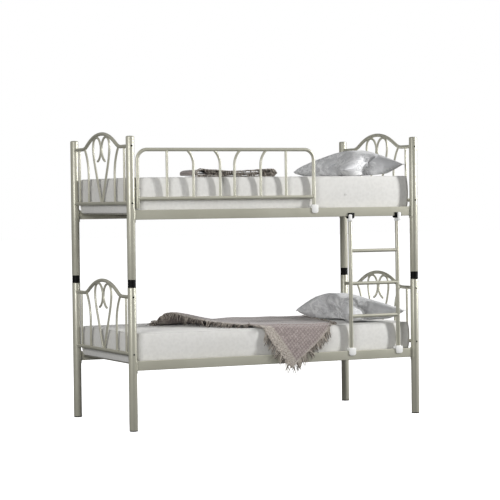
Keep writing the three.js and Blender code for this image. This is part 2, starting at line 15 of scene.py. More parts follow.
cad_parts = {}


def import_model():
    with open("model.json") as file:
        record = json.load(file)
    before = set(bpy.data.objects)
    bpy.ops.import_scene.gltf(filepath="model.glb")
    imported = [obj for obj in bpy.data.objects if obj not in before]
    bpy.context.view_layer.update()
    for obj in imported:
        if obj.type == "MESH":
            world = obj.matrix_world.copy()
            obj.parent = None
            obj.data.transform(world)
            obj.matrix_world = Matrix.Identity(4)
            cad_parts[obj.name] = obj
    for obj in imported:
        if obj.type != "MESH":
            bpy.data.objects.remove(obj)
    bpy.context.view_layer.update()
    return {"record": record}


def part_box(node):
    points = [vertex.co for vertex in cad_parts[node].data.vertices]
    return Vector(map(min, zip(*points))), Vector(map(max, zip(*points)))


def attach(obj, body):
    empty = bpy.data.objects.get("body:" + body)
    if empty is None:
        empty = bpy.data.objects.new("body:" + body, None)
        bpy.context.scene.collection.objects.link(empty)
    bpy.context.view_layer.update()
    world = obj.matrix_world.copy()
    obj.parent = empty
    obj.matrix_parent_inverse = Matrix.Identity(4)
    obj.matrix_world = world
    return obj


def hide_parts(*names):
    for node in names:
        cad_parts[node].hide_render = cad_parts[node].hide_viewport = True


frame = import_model()
MM = 0.001
RANDOM = random.Random(7)

# each corner of the bed, and which way along Y its posts' outer side faces
CORNERS = [("front_left", -1), ("front_right", -1), ("back_left", 1), ("back_right", 1)]
BEDS = ["lower", "upper"]


def middle(node):
    low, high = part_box(node)
    return (low + high) / 2


def frame_body(node):
    """The body that a CAD node belongs to."""
    for body, members in frame["record"]["behaviour"]["bodies"].items():
        if node in members:
            return body
    raise KeyError(node)


# ---- camera, light and floor --------------------------------------------------------------

CAMERA_PLACE = Vector((-5.423, -11.417, 1.365))
CAMERA_YAW, CAMERA_PITCH, CAMERA_ROLL = (math.radians(a) for a in (25.56, -1.387, -0.68))
CAMERA_LENS = 142.06  # millimetres, on a sensor 36 wide
KEY_TURN = math.radians(64.5)  # how far round from the front to the right the key light stands
KEY_DISTANCE = 6.0
KEY_PLACE = (KEY_DISTANCE * math.sin(KEY_TURN), -KEY_DISTANCE * math.cos(KEY_TURN), 3.0)
SOFTBOXES = [  # name, place, target, width, height, watts
    ("key", KEY_PLACE, (0, 0, 1.4), 0.5, 3.0, 450),
    ("front_fill", (-4.4, -3.4, 2.2), (-0.4, 0, 1.2), 1.8, 1.8, 135),
    ("back_fill", (1.5, 6.5, 3.0), (0, 0, 1.0), 4.0, 2.5, 15),
]
WORLD_BRIGHT_SIDE = (-0.3, -0.3, 0.65)
WORLD_GLOW = {"From Min": -0.5, "From Max": 0.7, "To Min": 0.03, "To Max": 0.36}
FLOOR_HALF = 60
FLOOR_DROP = 0.4 * MM  # keeps the floor clear of the foot glides
FLOOR_GLOW = 0.88


def add_camera():
    yaw, pitch, roll = CAMERA_YAW, CAMERA_PITCH, CAMERA_ROLL
    flat = math.cos(pitch)
    forward = Vector((math.sin(yaw) * flat, math.cos(yaw) * flat, math.sin(pitch)))
    level = Vector((math.cos(yaw), -math.sin(yaw), 0))
    upward = level.cross(forward)
    right = level * math.cos(roll) + upward * math.sin(roll)
    up = upward * math.cos(roll) - level * math.sin(roll)
    data = bpy.data.cameras.new("camera")
    data.lens = CAMERA_LENS
    data.sensor_width = 36
    data.clip_end = 200
    camera = bpy.data.objects.new("camera", data)
    turn = Matrix((right, up, -forward)).transposed().to_4x4()
    camera.matrix_world = Matrix.Translation(CAMERA_PLACE) @ turn
    bpy.context.scene.collection.objects.link(camera)
    bpy.context.scene.camera = camera
    bpy.context.scene.view_settings.view_transform = "Standard"


def add_softbox(name, place, target, width, height, power):
    data = bpy.data.lights.new(name, "AREA")
    data.shape = "RECTANGLE"
    data.size = width
    data.size_y = height
    data.energy = power
    lamp = bpy.data.objects.new(name, data)
    lamp.location = place
    lamp.rotation_euler = (Vector(target) - Vector(place)).to_track_quat("-Z", "Y").to_euler()
    bpy.context.scene.collection.objects.link(lamp)


def add_world():
    """A white room to look at, and a softer one to light by: brighter above and in front."""
    world = bpy.data.worlds.new("studio")
    world.use_nodes = True
    bpy.context.scene.world = world
    tree = world.node_tree
    nodes, links = tree.nodes, tree.links
    nodes.clear()
    place = nodes.new("ShaderNodeTexCoord")
    toward = nodes.new("ShaderNodeVectorMath")
    toward.operation = "DOT_PRODUCT"
    links.new(place.outputs["Generated"], toward.inputs[0])
    toward.inputs[1].default_value = WORLD_BRIGHT_SIDE
    glow = nodes.new("ShaderNodeMapRange")
    links.new(toward.outputs["Value"], glow.inputs["Value"])
    for socket, value in WORLD_GLOW.items():
        glow.inputs[socket].default_value = value
    room = nodes.new("ShaderNodeBackground")
    links.new(glow.outputs[0], room.inputs["Strength"])
    seen = nodes.new("ShaderNodeBackground")
    seen.inputs["Strength"].default_value = 1.0
    for shade in (room, seen):
        shade.inputs["Color"].default_value = (1, 1, 1, 1)
    path = nodes.new("ShaderNodeLightPath")
    mix = nodes.new("ShaderNodeMixShader")
    links.new(path.outputs["Is Camera Ray"], mix.inputs["Fac"])
    links.new(room.outputs[0], mix.inputs[1])
    links.new(seen.outputs[0], mix.inputs[2])
    output = nodes.new("ShaderNodeOutputWorld")
    links.new(mix.outputs[0], output.inputs["Surface"])


def add_floor():
    mesh = bpy.data.meshes.new("floor")
    corners = [(-1, -1), (1, -1), (1, 1), (-1, 1)]
    mesh.from_pydata([(x * FLOOR_HALF, y * FLOOR_HALF, 0) for x, y in corners], [], [(0, 1, 2, 3)])
    floor = bpy.data.objects.new("floor", mesh)
    floor.location.z = -FLOOR_DROP
    bpy.context.scene.collection.objects.link(floor)
    glow = {"Emission Color": (1, 1, 1, 1), "Emission Strength": FLOOR_GLOW}
    mesh.materials.append(new_material("floor_paint", (0.9, 0.9, 0.89), 0.9, glow))
    floor.visible_diffuse = False
    floor.visible_glossy = False


# ---- materials ----------------------------------------------------------------------------


def new_material(name, colour, roughness, settings=None):
    """A new material; the settings are values by the names of the shader's sockets."""
    material = bpy.data.materials.new(name)
    material.use_nodes = True
    shader = material.node_tree.nodes["Principled BSDF"]
    shader.inputs["Base Color"].default_value = (*colour, 1)
    shader.inputs["Roughness"].default_value = roughness
    for socket, value in (settings or {}).items():
        shader.inputs[socket].default_value = value
    return material


class Nodes:
    """Short calls for the nodes that the materials share."""

    def __init__(self, material):
        self.tree = material.node_tree
        self.shader = self.tree.nodes["Principled BSDF"]
        self.place = self.add("ShaderNodeTexCoord").outputs["Object"]

    def add(self, kind, **settings):
        node = self.tree.nodes.new(kind)
        for key, value in settings.items():
            setattr(node, key, value)
        return node

    def link(self, source, target):
        self.tree.links.new(source, target)

    def scaled(self, vector, scale, turn=(0, 0, 0)):
        node = self.add("ShaderNodeMapping")
        self.link(vector, node.inputs["Vector"])
        node.inputs["Scale"].default_value = scale
        node.inputs["Rotation"].default_value = turn
        return node.outputs[0]

    def noise(self, scale, detail=3.0, vector=None, distortion=0.0):
        node = self.add("ShaderNodeTexNoise")
        self.link(vector or self.place, node.inputs["Vector"])
        node.inputs["Scale"].default_value = scale
        node.inputs["Detail"].default_value = detail
        node.inputs["Distortion"].default_value = distortion
        return node.outputs["Fac"]

    def voronoi(self, scale, vector=None, feature="F1"):
        node = self.add("ShaderNodeTexVoronoi", feature=feature)
        self.link(vector or self.place, node.inputs["Vector"])
        node.inputs["Scale"].default_value = scale
        return node.outputs["Distance"]

    def math(self, operation, first, second=0.0, third=0.0):
        node = self.add("ShaderNodeMath", operation=operation)
        for socket, value in zip(node.inputs, (first, second, third)):
            if isinstance(value, (int, float)):
                socket.default_value = value
            else:
                self.link(value, socket)
        return node.outputs[0]

    def span(self, value, low, high, to_low=0.0, to_high=1.0):
        node = self.add("ShaderNodeMapRange")
        self.link(value, node.inputs["Value"])
        node.inputs["From Min"].default_value = low
        node.inputs["From Max"].default_value = high
        node.inputs["To Min"].default_value = to_low
        node.inputs["To Max"].default_value = to_high
        return node.outputs[0]

    def mix(self, share, first, second):
        node = self.add("ShaderNodeMix", data_type="RGBA")
        self.link(share, node.inputs[0])
        for socket, value in zip((node.inputs[6], node.inputs[7]), (first, second)):
            if isinstance(value, tuple):
                socket.default_value = (*value, 1)
            else:
                self.link(value, socket)
        return node.outputs[2]

    def colour(self, value):
        self.link(value, self.shader.inputs["Base Color"])

    def roughness(self, value):
        self.link(value, self.shader.inputs["Roughness"])

    def bump(self, height, strength, distance):
        node = self.add("ShaderNodeBump")
        node.inputs["Strength"].default_value = strength
        node.inputs["Distance"].default_value = distance
        self.link(height, node.inputs["Height"])
        last = self.shader.inputs["Normal"]
        if last.is_linked:
            self.link(last.links[0].from_socket, node.inputs["Normal"])
        self.link(node.outputs[0], last)

    def thread(self, vector, pitch, axis):
        """Rounded ridges, one each pitch, across the X, Y or Z of a vector."""
        split = self.add("ShaderNodeSeparateXYZ")
        self.link(vector, split.inputs[0])
        turns = self.math("MULTIPLY", split.outputs[axis], 2 * math.pi / pitch)
        return self.span(self.math("SINE", turns), -1, 1)


def powder_coat():
    """Warm champagne enamel: a fine orange peel, slight tone drift and faint rubbed streaks."""
    coat = {"Metallic": 0.3, "Coat Weight": 0.2, "Coat Roughness": 0.2}
    material = new_material("powder_coat", (0.5, 0.49, 0.405), 0.38, coat)
    n = Nodes(material)
    drift = n.noise(3.5, 4)
    tone = n.mix(n.span(drift, 0.3, 0.7), (0.475, 0.465, 0.38), (0.545, 0.535, 0.445))
    streaks = n.noise(1.0, 6, n.scaled(n.place, (60, 60, 9)))
    scuffed = n.span(streaks, 0.66, 0.8, 0, 0.6)
    n.colour(n.mix(scuffed, tone, (0.58, 0.57, 0.49)))
    n.roughness(n.span(n.noise(45, 4), 0.3, 0.7, 0.33, 0.43))
    n.bump(n.noise(900, 2), 0.03, 0.1 * MM)
    return material


def moulded(name, colour, worn, roughness, gloss):
    """Moulded plastic: a fine spark-eroded grain and paler rubbed spots."""
    material = new_material(name, colour, roughness, {"Specular IOR Level": gloss})
    n = Nodes(material)
    n.colour(n.mix(n.span(n.noise(70, 5), 0.55, 0.8), colour, worn))
    n.roughness(n.span(n.noise(160, 3), 0.3, 0.7, roughness - 0.08, roughness + 0.1))
    n.bump(n.voronoi(1400), 0.12, 0.1 * MM)
    return material


def plated_zinc():
    """Bright zinc, dulled unevenly."""
    material = new_material("plated_zinc", (0.55, 0.56, 0.58), 0.32, {"Metallic": 1.0})
    n = Nodes(material)
    n.colour(n.mix(n.span(n.noise(120, 5), 0.3, 0.7), (0.42, 0.42, 0.43), (0.68, 0.69, 0.71)))
    n.roughness(n.span(n.noise(260, 4), 0.3, 0.7, 0.22, 0.46))
    n.bump(n.noise(700, 3), 0.1, 0.1 * MM)
    return material


def wire_paint():
    """The same enamel, dipped thicker and duller on the wires."""
    material = new_material("wire_paint", (0.38, 0.37, 0.32), 0.42, {"Metallic": 0.3})
    n = Nodes(material)
    n.colour(n.mix(n.span(n.noise(30, 5), 0.3, 0.7), (0.33, 0.322, 0.275), (0.43, 0.42, 0.365)))
    n.roughness(n.span(n.noise(90, 3), 0.3, 0.7, 0.36, 0.5))
    n.bump(n.noise(420, 3), 0.2, 0.2 * MM)
    return material


def knit_ticking():
    """Ivory stretch ticking: fine knitted ribs with a small raised lozenge pattern."""
    sheen = {"Sheen Weight": 0.25, "Sheen Roughness": 0.5}
    material = new_material("knit_ticking", (0.73, 0.72, 0.7), 0.8, sheen)
    n = Nodes(material)
    ribs = n.thread(n.place, 1.8 * MM, 0)
    courses = n.thread(n.scaled(n.place, (1, 1, 1), (math.radians(45), 0, 0)), 2.2 * MM, 1)
    knit = n.math("MULTIPLY", ribs, courses)
    slanted = n.scaled(n.place, (1, 1, 1), (0, math.radians(45), math.radians(45)))
    diamond = n.voronoi(55, slanted, "SMOOTH_F1")
    lozenge = n.span(diamond, 0.25, 0.6)
    tone = n.mix(lozenge, (0.715, 0.708, 0.682), (0.755, 0.748, 0.722))
    n.colour(n.mix(n.span(n.noise(4, 5), 0.45, 0.75, 0, 0.3), tone, (0.69, 0.672, 0.625)))
    n.roughness(n.span(knit, 0, 1, 0.72, 0.88))
    n.bump(lozenge, 0.12, 0.8 * MM)
    n.bump(knit, 0.25, 0.25 * MM)
    return material


def binding_tape():
    """The twill tape that binds a mattress's edges."""
    material = new_material("binding_tape", (0.76, 0.755, 0.73), 0.6, {"Sheen Weight": 0.2})
    n = Nodes(material)
    twill = n.thread(n.scaled(n.place, (1, 1, 1), (0.6, 0.4, 0.8)), 1.6 * MM, 0)
    n.colour(n.mix(twill, (0.66, 0.655, 0.63), (0.75, 0.745, 0.725)))
    n.bump(twill, 0.3, 0.3 * MM)
    return material


def satin_damask():
    """Silver satin with scrolled flowers woven in: the flowers are smoother and brighter."""
    lustre = {"Sheen Weight": 0.4, "Sheen Roughness": 0.35, "Anisotropic": 0.2, "Specular IOR Level": 0.3}
    material = new_material("satin_damask", (0.62, 0.625, 0.63), 0.5, lustre)
    n = Nodes(material)
    warp = n.add("ShaderNodeTexNoise")
    warp.inputs["Scale"].default_value = 14
    n.link(n.place, warp.inputs["Vector"])
    swirl = n.add("ShaderNodeVectorMath", operation="MULTIPLY_ADD")
    n.link(warp.outputs["Color"], swirl.inputs[0])
    swirl.inputs[1].default_value = (0.07, 0.07, 0.07)
    n.link(n.place, swirl.inputs[2])
    petals = n.voronoi(17, swirl.outputs[0], "SMOOTH_F1")
    rings = n.math("SINE", n.math("MULTIPLY", petals, 26.0))
    stems = n.span(n.voronoi(17, swirl.outputs[0], "DISTANCE_TO_EDGE"), 0.02, 0.06, 1.0, 0.0)
    flower = n.math("MAXIMUM", n.span(rings, 0.35, 0.65), stems)
    patches = n.span(n.noise(5.5, 2), 0.42, 0.58)
    figure = n.math("MULTIPLY", flower, patches)
    tone = n.mix(n.span(n.noise(7, 3), 0.35, 0.7), (0.55, 0.555, 0.565), (0.66, 0.665, 0.675))
    n.colour(n.mix(figure, tone, (0.82, 0.825, 0.83)))
    n.roughness(n.span(figure, 0, 1, 0.56, 0.4))
    satin = n.thread(n.place, 0.9 * MM, 1)
    n.bump(figure, 0.22, 0.5 * MM)
    n.bump(satin, 0.08, 0.12 * MM)
    return material


def basket_wool():
    """Taupe wool with mauve lines both ways, drawn on the cloth's own threads.

    The attribute "cloth" holds the place along both hems, in metres, and 1 on the border.
    """
    sheen = {"Sheen Weight": 0.35, "Sheen Roughness": 0.6}
    material = new_material("basket_wool", (0.33, 0.285, 0.26), 0.9, sheen)
    n = Nodes(material)
    cloth = n.add("ShaderNodeAttribute", attribute_name="cloth").outputs["Vector"]
    split = n.add("ShaderNodeSeparateXYZ")
    n.link(cloth, split.inputs[0])
    lines = [n.span(n.thread(cloth, 18 * MM, axis), 0.5, 0.92) for axis in (0, 1)]
    broken = n.span(n.noise(160, 3, cloth), 0.35, 0.6)
    lattice = n.math("MULTIPLY", n.math("MAXIMUM", lines[0], lines[1]), broken)
    yarns = [n.thread(cloth, 3.6 * MM, axis) for axis in (0, 1)]
    weave = n.math("MAXIMUM", yarns[0], yarns[1])
    ground = n.mix(n.span(n.noise(40, 5, cloth), 0.35, 0.65), (0.27, 0.232, 0.212), (0.4, 0.35, 0.318))
    field = n.mix(lattice, ground, (0.185, 0.128, 0.138))
    band = n.mix(n.span(n.noise(150, 5, cloth), 0.38, 0.62), (0.25, 0.215, 0.185), (0.5, 0.45, 0.395))
    n.colour(n.mix(split.outputs[2], field, band))
    n.roughness(n.span(weave, 0, 1, 0.82, 0.96))
    n.bump(lattice, 0.35, 1.2 * MM)
    n.bump(weave, 0.5, 0.8 * MM)
    return material


def twisted_yarn():
    """Fringe yarn: each strand has its own shade, in the attribute "cloth"; strands lying on the bed are
    given darker ones, as painted shade.
    """
    material = new_material("twisted_yarn", (0.4, 0.36, 0.33), 0.92, {"Sheen Weight": 0.35})
    n = Nodes(material)
    split = n.add("ShaderNodeSeparateXYZ")
    n.link(n.add("ShaderNodeAttribute", attribute_name="cloth").outputs["Vector"], split.inputs[0])
    n.colour(n.mix(split.outputs[0], (0.1, 0.078, 0.065), (0.55, 0.495, 0.43)))
    n.bump(n.thread(n.scaled(n.place, (1, 1, 1), (0.7, 0.5, 0)), 1.4 * MM, 2), 0.5, 0.4 * MM)
    return material


LOOKS = {  # each look's material and the record's slot for it
    "enamel": (powder_coat(), "enamel"),
    "black": (
        moulded("black_moulded", (0.004, 0.004, 0.0043), (0.02, 0.02, 0.021), 0.5, 0.12),
        "black_plastic",
    ),
    "white": (
        moulded("white_moulded", (0.86, 0.86, 0.84), (0.78, 0.775, 0.75), 0.34, 0.5),
        "white_plastic",
    ),
    "zinc": (plated_zinc(), "zinc"),
    "wire": (wire_paint(), "wire"),
    "ticking": (knit_ticking(), "ticking"),
    "tape": (binding_tape(), "ticking"),
    "satin": (satin_damask(), "satin"),
    "wool": (basket_wool(), "wool"),
    "yarn": (twisted_yarn(), "wool"),
}


# ---- mesh helpers -------------------------------------------------------------------------


def circle(centre, radius, u, v, sides):
    """Points round a centre, in the plane of the unit vectors u and v."""
    turns = [2 * math.pi * k / sides for k in range(sides)]
    return [centre + u * (radius * math.cos(t)) + v * (radius * math.sin(t)) for t in turns]


def path_length(path):
    return sum((b - a).length for a, b in zip(path, path[1:]))


class Form:
    """Collects skins, then becomes one object."""

    def __init__(self):
        self.verts = []
        self.faces = []
        self.marks = []  # one (x, y, z) a vertex, for the attribute "cloth"

    def add(self, verts, faces, mark=(0, 0, 0)):
        base = len(self.verts)
        self.verts += [Vector(v) for v in verts]
        self.faces += [tuple(base + i for i in face) for face in faces]
        self.marks += mark if isinstance(mark, list) else [mark] * len(verts)

    def loft(self, rings, caps=True, mark=(0, 0, 0)):
        """A skin over rings with equal counts of points; caps close its two ends."""
        count, last = len(rings[0]), len(rings) - 1
        faces = []
        for r in range(last):
            for i in range(count):
                j = (i + 1) % count
                faces.append((r * count + i, r * count + j, (r + 1) * count + j, (r + 1) * count + i))
        if caps:
            faces.append(tuple(reversed(range(count))))
            faces.append(tuple(last * count + i for i in range(count)))
        self.add([p for ring in rings for p in ring], faces, mark)

    def tube(self, path, radius, sides=18, soft_ends=0.0, mark=(0, 0, 0)):
        """A round tube along a path, with its frame carried along so that it never twists."""
        path = [Vector(p) for p in path]
        steps = [(b - a).normalized() for a, b in zip(path, path[1:])]
        tangents = [steps[0]] + [(a + b).normalized() for a, b in zip(steps, steps[1:])] + [steps[-1]]
        side = tangents[0].orthogonal().normalized()
        rings = []
        for place, tangent in zip(path, tangents):
            side = (side - tangent * side.dot(tangent)).normalized()
            across = tangent.cross(side)
            rings.append((place, side.copy(), across))
        widths = radius if isinstance(radius, list) else [radius] * len(path)
        stations = [(p, s, a, w) for (p, s, a), w in zip(rings, widths)]
        if soft_ends:
            head = self._rounded_end(stations[0], -tangents[0], soft_ends)
            tail = self._rounded_end(stations[-1], tangents[-1], soft_ends)
            stations = head[::-1] + stations + tail
        self.loft([circle(p, w, s, a, sides) for p, s, a, w in stations], mark=mark)

    @staticmethod
    def _rounded_end(station, outward, fillet):
        place, side, across, width = station
        fillet = min(fillet, width * 0.9)
        rings = []
        for k in (1, 2, 3):
            turn = math.radians(30 * k)
            out, inset = fillet * math.sin(turn), fillet * (1 - math.cos(turn))
            rings.append((place + outward * out, side, across, width - inset))
        return rings

    def turned(self, profile, centre, axis="z", sides=48):
        """A turned form from (radius, place along the axis) points, capped at both ends."""
        along, u, v = {
            "x": (Vector((1, 0, 0)), Vector((0, 1, 0)), Vector((0, 0, 1))),
            "y": (Vector((0, 1, 0)), Vector((0, 0, 1)), Vector((1, 0, 0))),
            "z": (Vector((0, 0, 1)), Vector((1, 0, 0)), Vector((0, 1, 0))),
        }[axis]
        centre = Vector(centre)
        rings = []
        for radius, place in profile:
            rings.append(circle(centre + along * place, max(radius, 0.05 * MM), u, v, sides))
        self.loft(rings)

    def collar(self, x, y, section, sides):
        """A hollow collar round a vertical axis, from a closed (radius, z) section."""
        turns = [2 * math.pi * k / sides for k in range(sides)]
        rings = []
        for radius, z in section:
            rings.append([Vector((x + radius * math.cos(t), y + radius * math.sin(t), z)) for t in turns])
        self.loft(rings + [rings[0]], caps=False)

    def closed_cord(self, path, radius):
        """A round cord along a closed, nearly level path."""
        rings = []
        for k, place in enumerate(path):
            tangent = (path[(k + 1) % len(path)] - path[k - 1]).normalized()
            across = tangent.cross(Vector((0, 0, 1))).normalized()
            rings.append(circle(place, radius, across, across.cross(tangent), 8))
        self.loft(rings + [rings[0]], caps=False)

    def weld(self, root, bar, tube_axis, bar_radius, tube_radius, bead=1.7 * MM):
        """The bead round a bar where it lands on a tube: root is on the tube's axis."""
        bar, tube_axis = Vector(bar).normalized(), Vector(tube_axis).normalized()
        across = bar.cross(tube_axis).normalized()
        tube_axis = across.cross(bar)
        path = []
        for k in range(25):
            turn = 2 * math.pi * k / 24
            lift = math.sqrt(max(tube_radius**2 - (bar_radius * math.sin(turn)) ** 2, 0))
            offset = tube_axis * (bar_radius * math.cos(turn)) + across * (bar_radius * math.sin(turn))
            path.append(Vector(root) + offset + bar * lift)
        widths = [bead * (1 + 0.25 * noise.noise(p * 400)) for p in path]
        widths[-1] = widths[0]
        self.tube(path, widths, 8)

    def mesh(self, name):
        mesh = bpy.data.meshes.new(name)
        mesh.from_pydata(self.verts, [], self.faces)
        marks = mesh.attributes.new("cloth", "FLOAT_VECTOR", "POINT")
        marks.data.foreach_set("vector", [c for mark in self.marks for c in mark])
        return mesh


def finish_mesh(mesh, sharp_angle):
    work = bmesh.new()
    work.from_mesh(mesh)
    bmesh.ops.recalc_face_normals(work, faces=work.faces)
    work.to_mesh(mesh)
    work.free()
    mesh.shade_smooth()
    mesh.set_sharp_from_angle(angle=math.radians(sharp_angle))


def place_piece(form, name, look, body, replaces=(), sharp_angle=38):
    """Makes a form into a piece that rides on a body and stands for CAD nodes."""
    material, slot = LOOKS[look]
    mesh = form.mesh(name) if isinstance(form, Form) else form
    finish_mesh(mesh, sharp_angle)
    mesh.materials.clear()
    mesh.materials.append(material)
    piece = bpy.data.objects.new(name, mesh)
    bpy.context.scene.collection.objects.link(piece)
    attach(piece, body)
    if replaces:
        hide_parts(*replaces)
    return piece


def stand_in(form, node, suffix, look, sharp_angle=38):
    """Makes a form into the piece that stands for one CAD node."""
    return place_piece(form, f"{node}_{suffix}", look, frame_body(node), [node], sharp_angle)


def new_worker(mesh):
    """A passing object that only carries modifiers."""
    worker = bpy.data.objects.new("worker", mesh)
    bpy.context.scene.collection.objects.link(worker)
    return worker


def baked(worker):
    """The worker's mesh as its modifiers leave it; the worker goes."""
    graph = bpy.context.evaluated_depsgraph_get()
    mesh = bpy.data.meshes.new_from_object(worker.evaluated_get(graph), depsgraph=graph)
    bpy.data.objects.remove(worker)
    return mesh


def arc(centre, radius, start, end, steps):
    """(across, up) points on an arc, angles in degrees."""
    points = []
    for k in range(steps + 1):
        turn = math.radians(start + (end - start) * k / steps)
        points.append((centre[0] + radius * math.cos(turn), centre[1] + radius * math.sin(turn)))
    return points


def rounded_outline(low, high, low_radius, high_radius, steps=6):
    """A rectangle's outline with rounded low and high corners."""
    (left, base), (right, top) = low, high
    a, b = low_radius, high_radius
    return (
        arc((right - a, base + a), a, -90, 0, steps)
        + arc((right - b, top - b), b, 0, 90, steps)
        + arc((left + b, top - b), b, 90, 180, steps)
        + arc((left + a, base + a), a, 180, 270, steps)
    )


def slab_along_y(form, outline, front, back, bevel):
    """An (x, z) outline made thick along Y, with softened rims."""
    centre = Vector((sum(x for x, _ in outline), sum(z for _, z in outline))) / len(outline)
    rings = []
    for y, inset in ((front, bevel), (front + 0.3 * bevel, 0.3 * bevel), (front + bevel, 0),
                     (back - bevel, 0), (back - 0.3 * bevel, 0.3 * bevel), (back, bevel)):
        ring = []
        for x, z in outline:
            away = Vector((x, z)) - centre
            inner = away - away.normalized() * inset
            ring.append((centre.x + inner.x, y, centre.y + inner.y))
        rings.append(ring)
    form.loft(rings)


def plate(form, low, high, corners, steps, bevel):
    """A plate that fills a box, its low and high corners rounded as seen from the front."""
    outline = rounded_outline((low[0], low[2]), (high[0], high[2]), *corners, steps)
    slab_along_y(form, outline, low[1], high[1], bevel)


def block(form, low, high, bevel):
    plate(form, low, high, (bevel, bevel), 3, bevel)


# ---- posts, feet, couplings and caps ------------------------------------------------------


POST_WALL = 2 * MM
POST_LIP = 0.7 * MM  # the softened rim at a tube's end
BUNG_DEPTH = 60 * MM


def add_posts():
    for corner, _ in CORNERS:
        for bed in BEDS:
            node = f"{bed}_post_{corner}"
            low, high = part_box(node)
            form = Form()
            section = tube_section((high.x - low.x) / 2, (high.z - low.z) / 2, POST_WALL, POST_LIP)
            form.turned(section, middle(node))
            stand_in(form, node, "tube", "enamel")
        add_coupling(f"post_coupling_{corner}")
        add_foot_glide(f"foot_glide_{corner}")
        add_post_cap(f"post_cap_{corner}")


def mirrored_section(upper):
    """A turned section's upper half and its mirror image below."""
    return upper + [(r, -z) for r, z in reversed(upper)]


def tube_section(radius, half, wall, lip):
    """A tube's section, with softened ends and a bung well inside each end."""
    bore, bung = radius - wall, half - BUNG_DEPTH
    return mirrored_section([
        (0, bung), (bore, bung), (bore, half), (radius - lip, half),
        (radius - 0.25 * lip, half - 0.25 * lip), (radius, half - lip),
    ])


def add_coupling(node):
    """A collar with a groove round it, and a spigot up into one post and down into the other."""
    low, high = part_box(node)
    collar, spigot = (high.x - low.x) / 2, 23 * MM
    half, reach = 24.0 * MM, (high.z - low.z) / 2
    groove, lip = 1.1 * MM, 1.0 * MM
    form = Form()
    form.turned(mirrored_section([
        (0, reach), (spigot - 2 * lip, reach), (spigot, reach - 2 * lip),
        (spigot, half), (collar - lip, half), (collar, half - lip), (collar, 10 * MM),
        (collar - groove, 9 * MM), (collar - groove, 6.5 * MM), (collar, 5.5 * MM),
    ]), middle(node))
    stand_in(form, node, "collar", "black")


def add_foot_glide(node):
    """A black plug with a dished sole and a rim under the post's wall."""
    low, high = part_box(node)
    centre = Vector((middle(node).x, middle(node).y, low.z))
    radius, top = (high.x - low.x) / 2, high.z - low.z
    rim = 6 * MM
    form = Form()
    form.turned([(0, 0.6 * MM), (12 * MM, 0.6 * MM), (13 * MM, 0), (radius - 2.5 * MM, 0),
                 (radius - 0.8 * MM, 0.8 * MM), (radius, 2.5 * MM), (radius, rim - 0.5 * MM),
                 (radius - 0.5 * MM, rim), (22.8 * MM, rim), (22.2 * MM, top - 1.5 * MM),
                 (21 * MM, top), (0, top)], centre)
    stand_in(form, node, "foot", "black")


def add_post_cap(node):
    """A shallow dome with a plug down inside the post."""
    low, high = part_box(node)
    centre = Vector((middle(node).x, middle(node).y, high.z))
    radius, rise, plug_end = (high.x - low.x) / 2, 6.7 * MM, -24 * MM
    dome = []
    for k in range(9):
        turn = math.radians(90 * k / 8)
        dome.append(((radius - 0.3 * MM) * math.sin(turn) ** 0.9, -rise * (1 - math.cos(turn) ** 0.8)))
    plug = [(radius, -rise), (23 * MM, -rise - 0.1 * MM), (22.6 * MM, plug_end), (0, plug_end)]
    form = Form()
    form.turned(dome + plug, centre)
    stand_in(form, node, "dome", "enamel")


# ---- side rails ---------------------------------------------------------------------------

RAIL_HEIGHT = 58 * MM
RAIL_THICK = 25 * MM
SADDLE_BELOW = 17 * MM
SADDLE_REACH = math.radians(65)
SADDLE_PLATE = 3 * MM
POST_GAP = 0.3 * MM
RAIL_EDGE = 3.2 * MM  # the box tube's rounded edges
LEDGE_HALF = 940 * MM
LEDGE_WIDTH, LEDGE_THICK = 22 * MM, 3 * MM
LEDGE_RISE = 30.7 * MM  # from the rail's underside to the ledge's top
BOLT_TURN = math.radians(48)  # how far round the post the rail's bolts sit
BOLT_OFFSET = 14 * MM


def saddle(form, post, direction, low, high):
    """The curved plate that hugs a post, with rounded lower corners, wider than the rail."""
    inner = post.z + POST_GAP
    outer = inner + SADDLE_PLATE
    half = outer * math.sin(SADDLE_REACH)
    rows, columns = 18, 16
    low_corner, high_corner = 22 * MM, 5 * MM

    def half_width(z):
        for corner, edge in ((low_corner, z - low), (high_corner, high - z)):
            if edge < corner:
                return half - corner + math.sqrt(max(corner**2 - (corner - edge) ** 2, 0))
        return half

    def level(row):
        share = row / rows
        return low + (high - low) * (share - math.sin(2 * math.pi * share) / (2 * math.pi) * 0.75)

    def point(radius, row, column):
        z = level(row)
        width = max(half_width(z), 4 * MM)
        turn = math.asin(min(width / outer, 1)) * (2 * column / columns - 1)
        return (post.x + direction * radius * math.cos(turn), post.y + radius * math.sin(turn), z)

    lip = 0.8 * MM
    rings = []
    for row in range(rows + 1):
        outer_row = [point(outer - (lip if c in (0, columns) else 0), row, c)
                     for c in range(columns + 1)]
        inner_row = [point(inner, row, c) for c in reversed(range(columns + 1))]
        rings.append(outer_row + inner_row)
    form.loft(rings)


def socket_bolt(form, place, outward, radius, height):
    """A button head with a hexagon socket, standing out from a surface."""
    outward = Vector(outward).normalized()
    side = outward.orthogonal().normalized()
    across = outward.cross(side)
    place = Vector(place)
    turns = [2 * math.pi * k / 24 for k in range(24)]

    def ring(width, lift, hexagon=False):
        points = []
        for turn in turns:
            reach = width
            if hexagon:
                reach = width * math.cos(math.pi / 6) / math.cos((turn % (math.pi / 3)) - math.pi / 6)
            spoke = place + outward * lift + side * (reach * math.cos(turn))
            points.append(spoke + across * (reach * math.sin(turn)))
        return points

    form.loft([
        ring(radius * 0.9, -2 * MM), ring(radius, 0), ring(radius, 0.25 * height),
        ring(radius * 0.9, 0.7 * height), ring(radius * 0.68, height), ring(radius * 0.5, height, True),
        ring(radius * 0.46, height - 2.0 * MM, True),
    ])


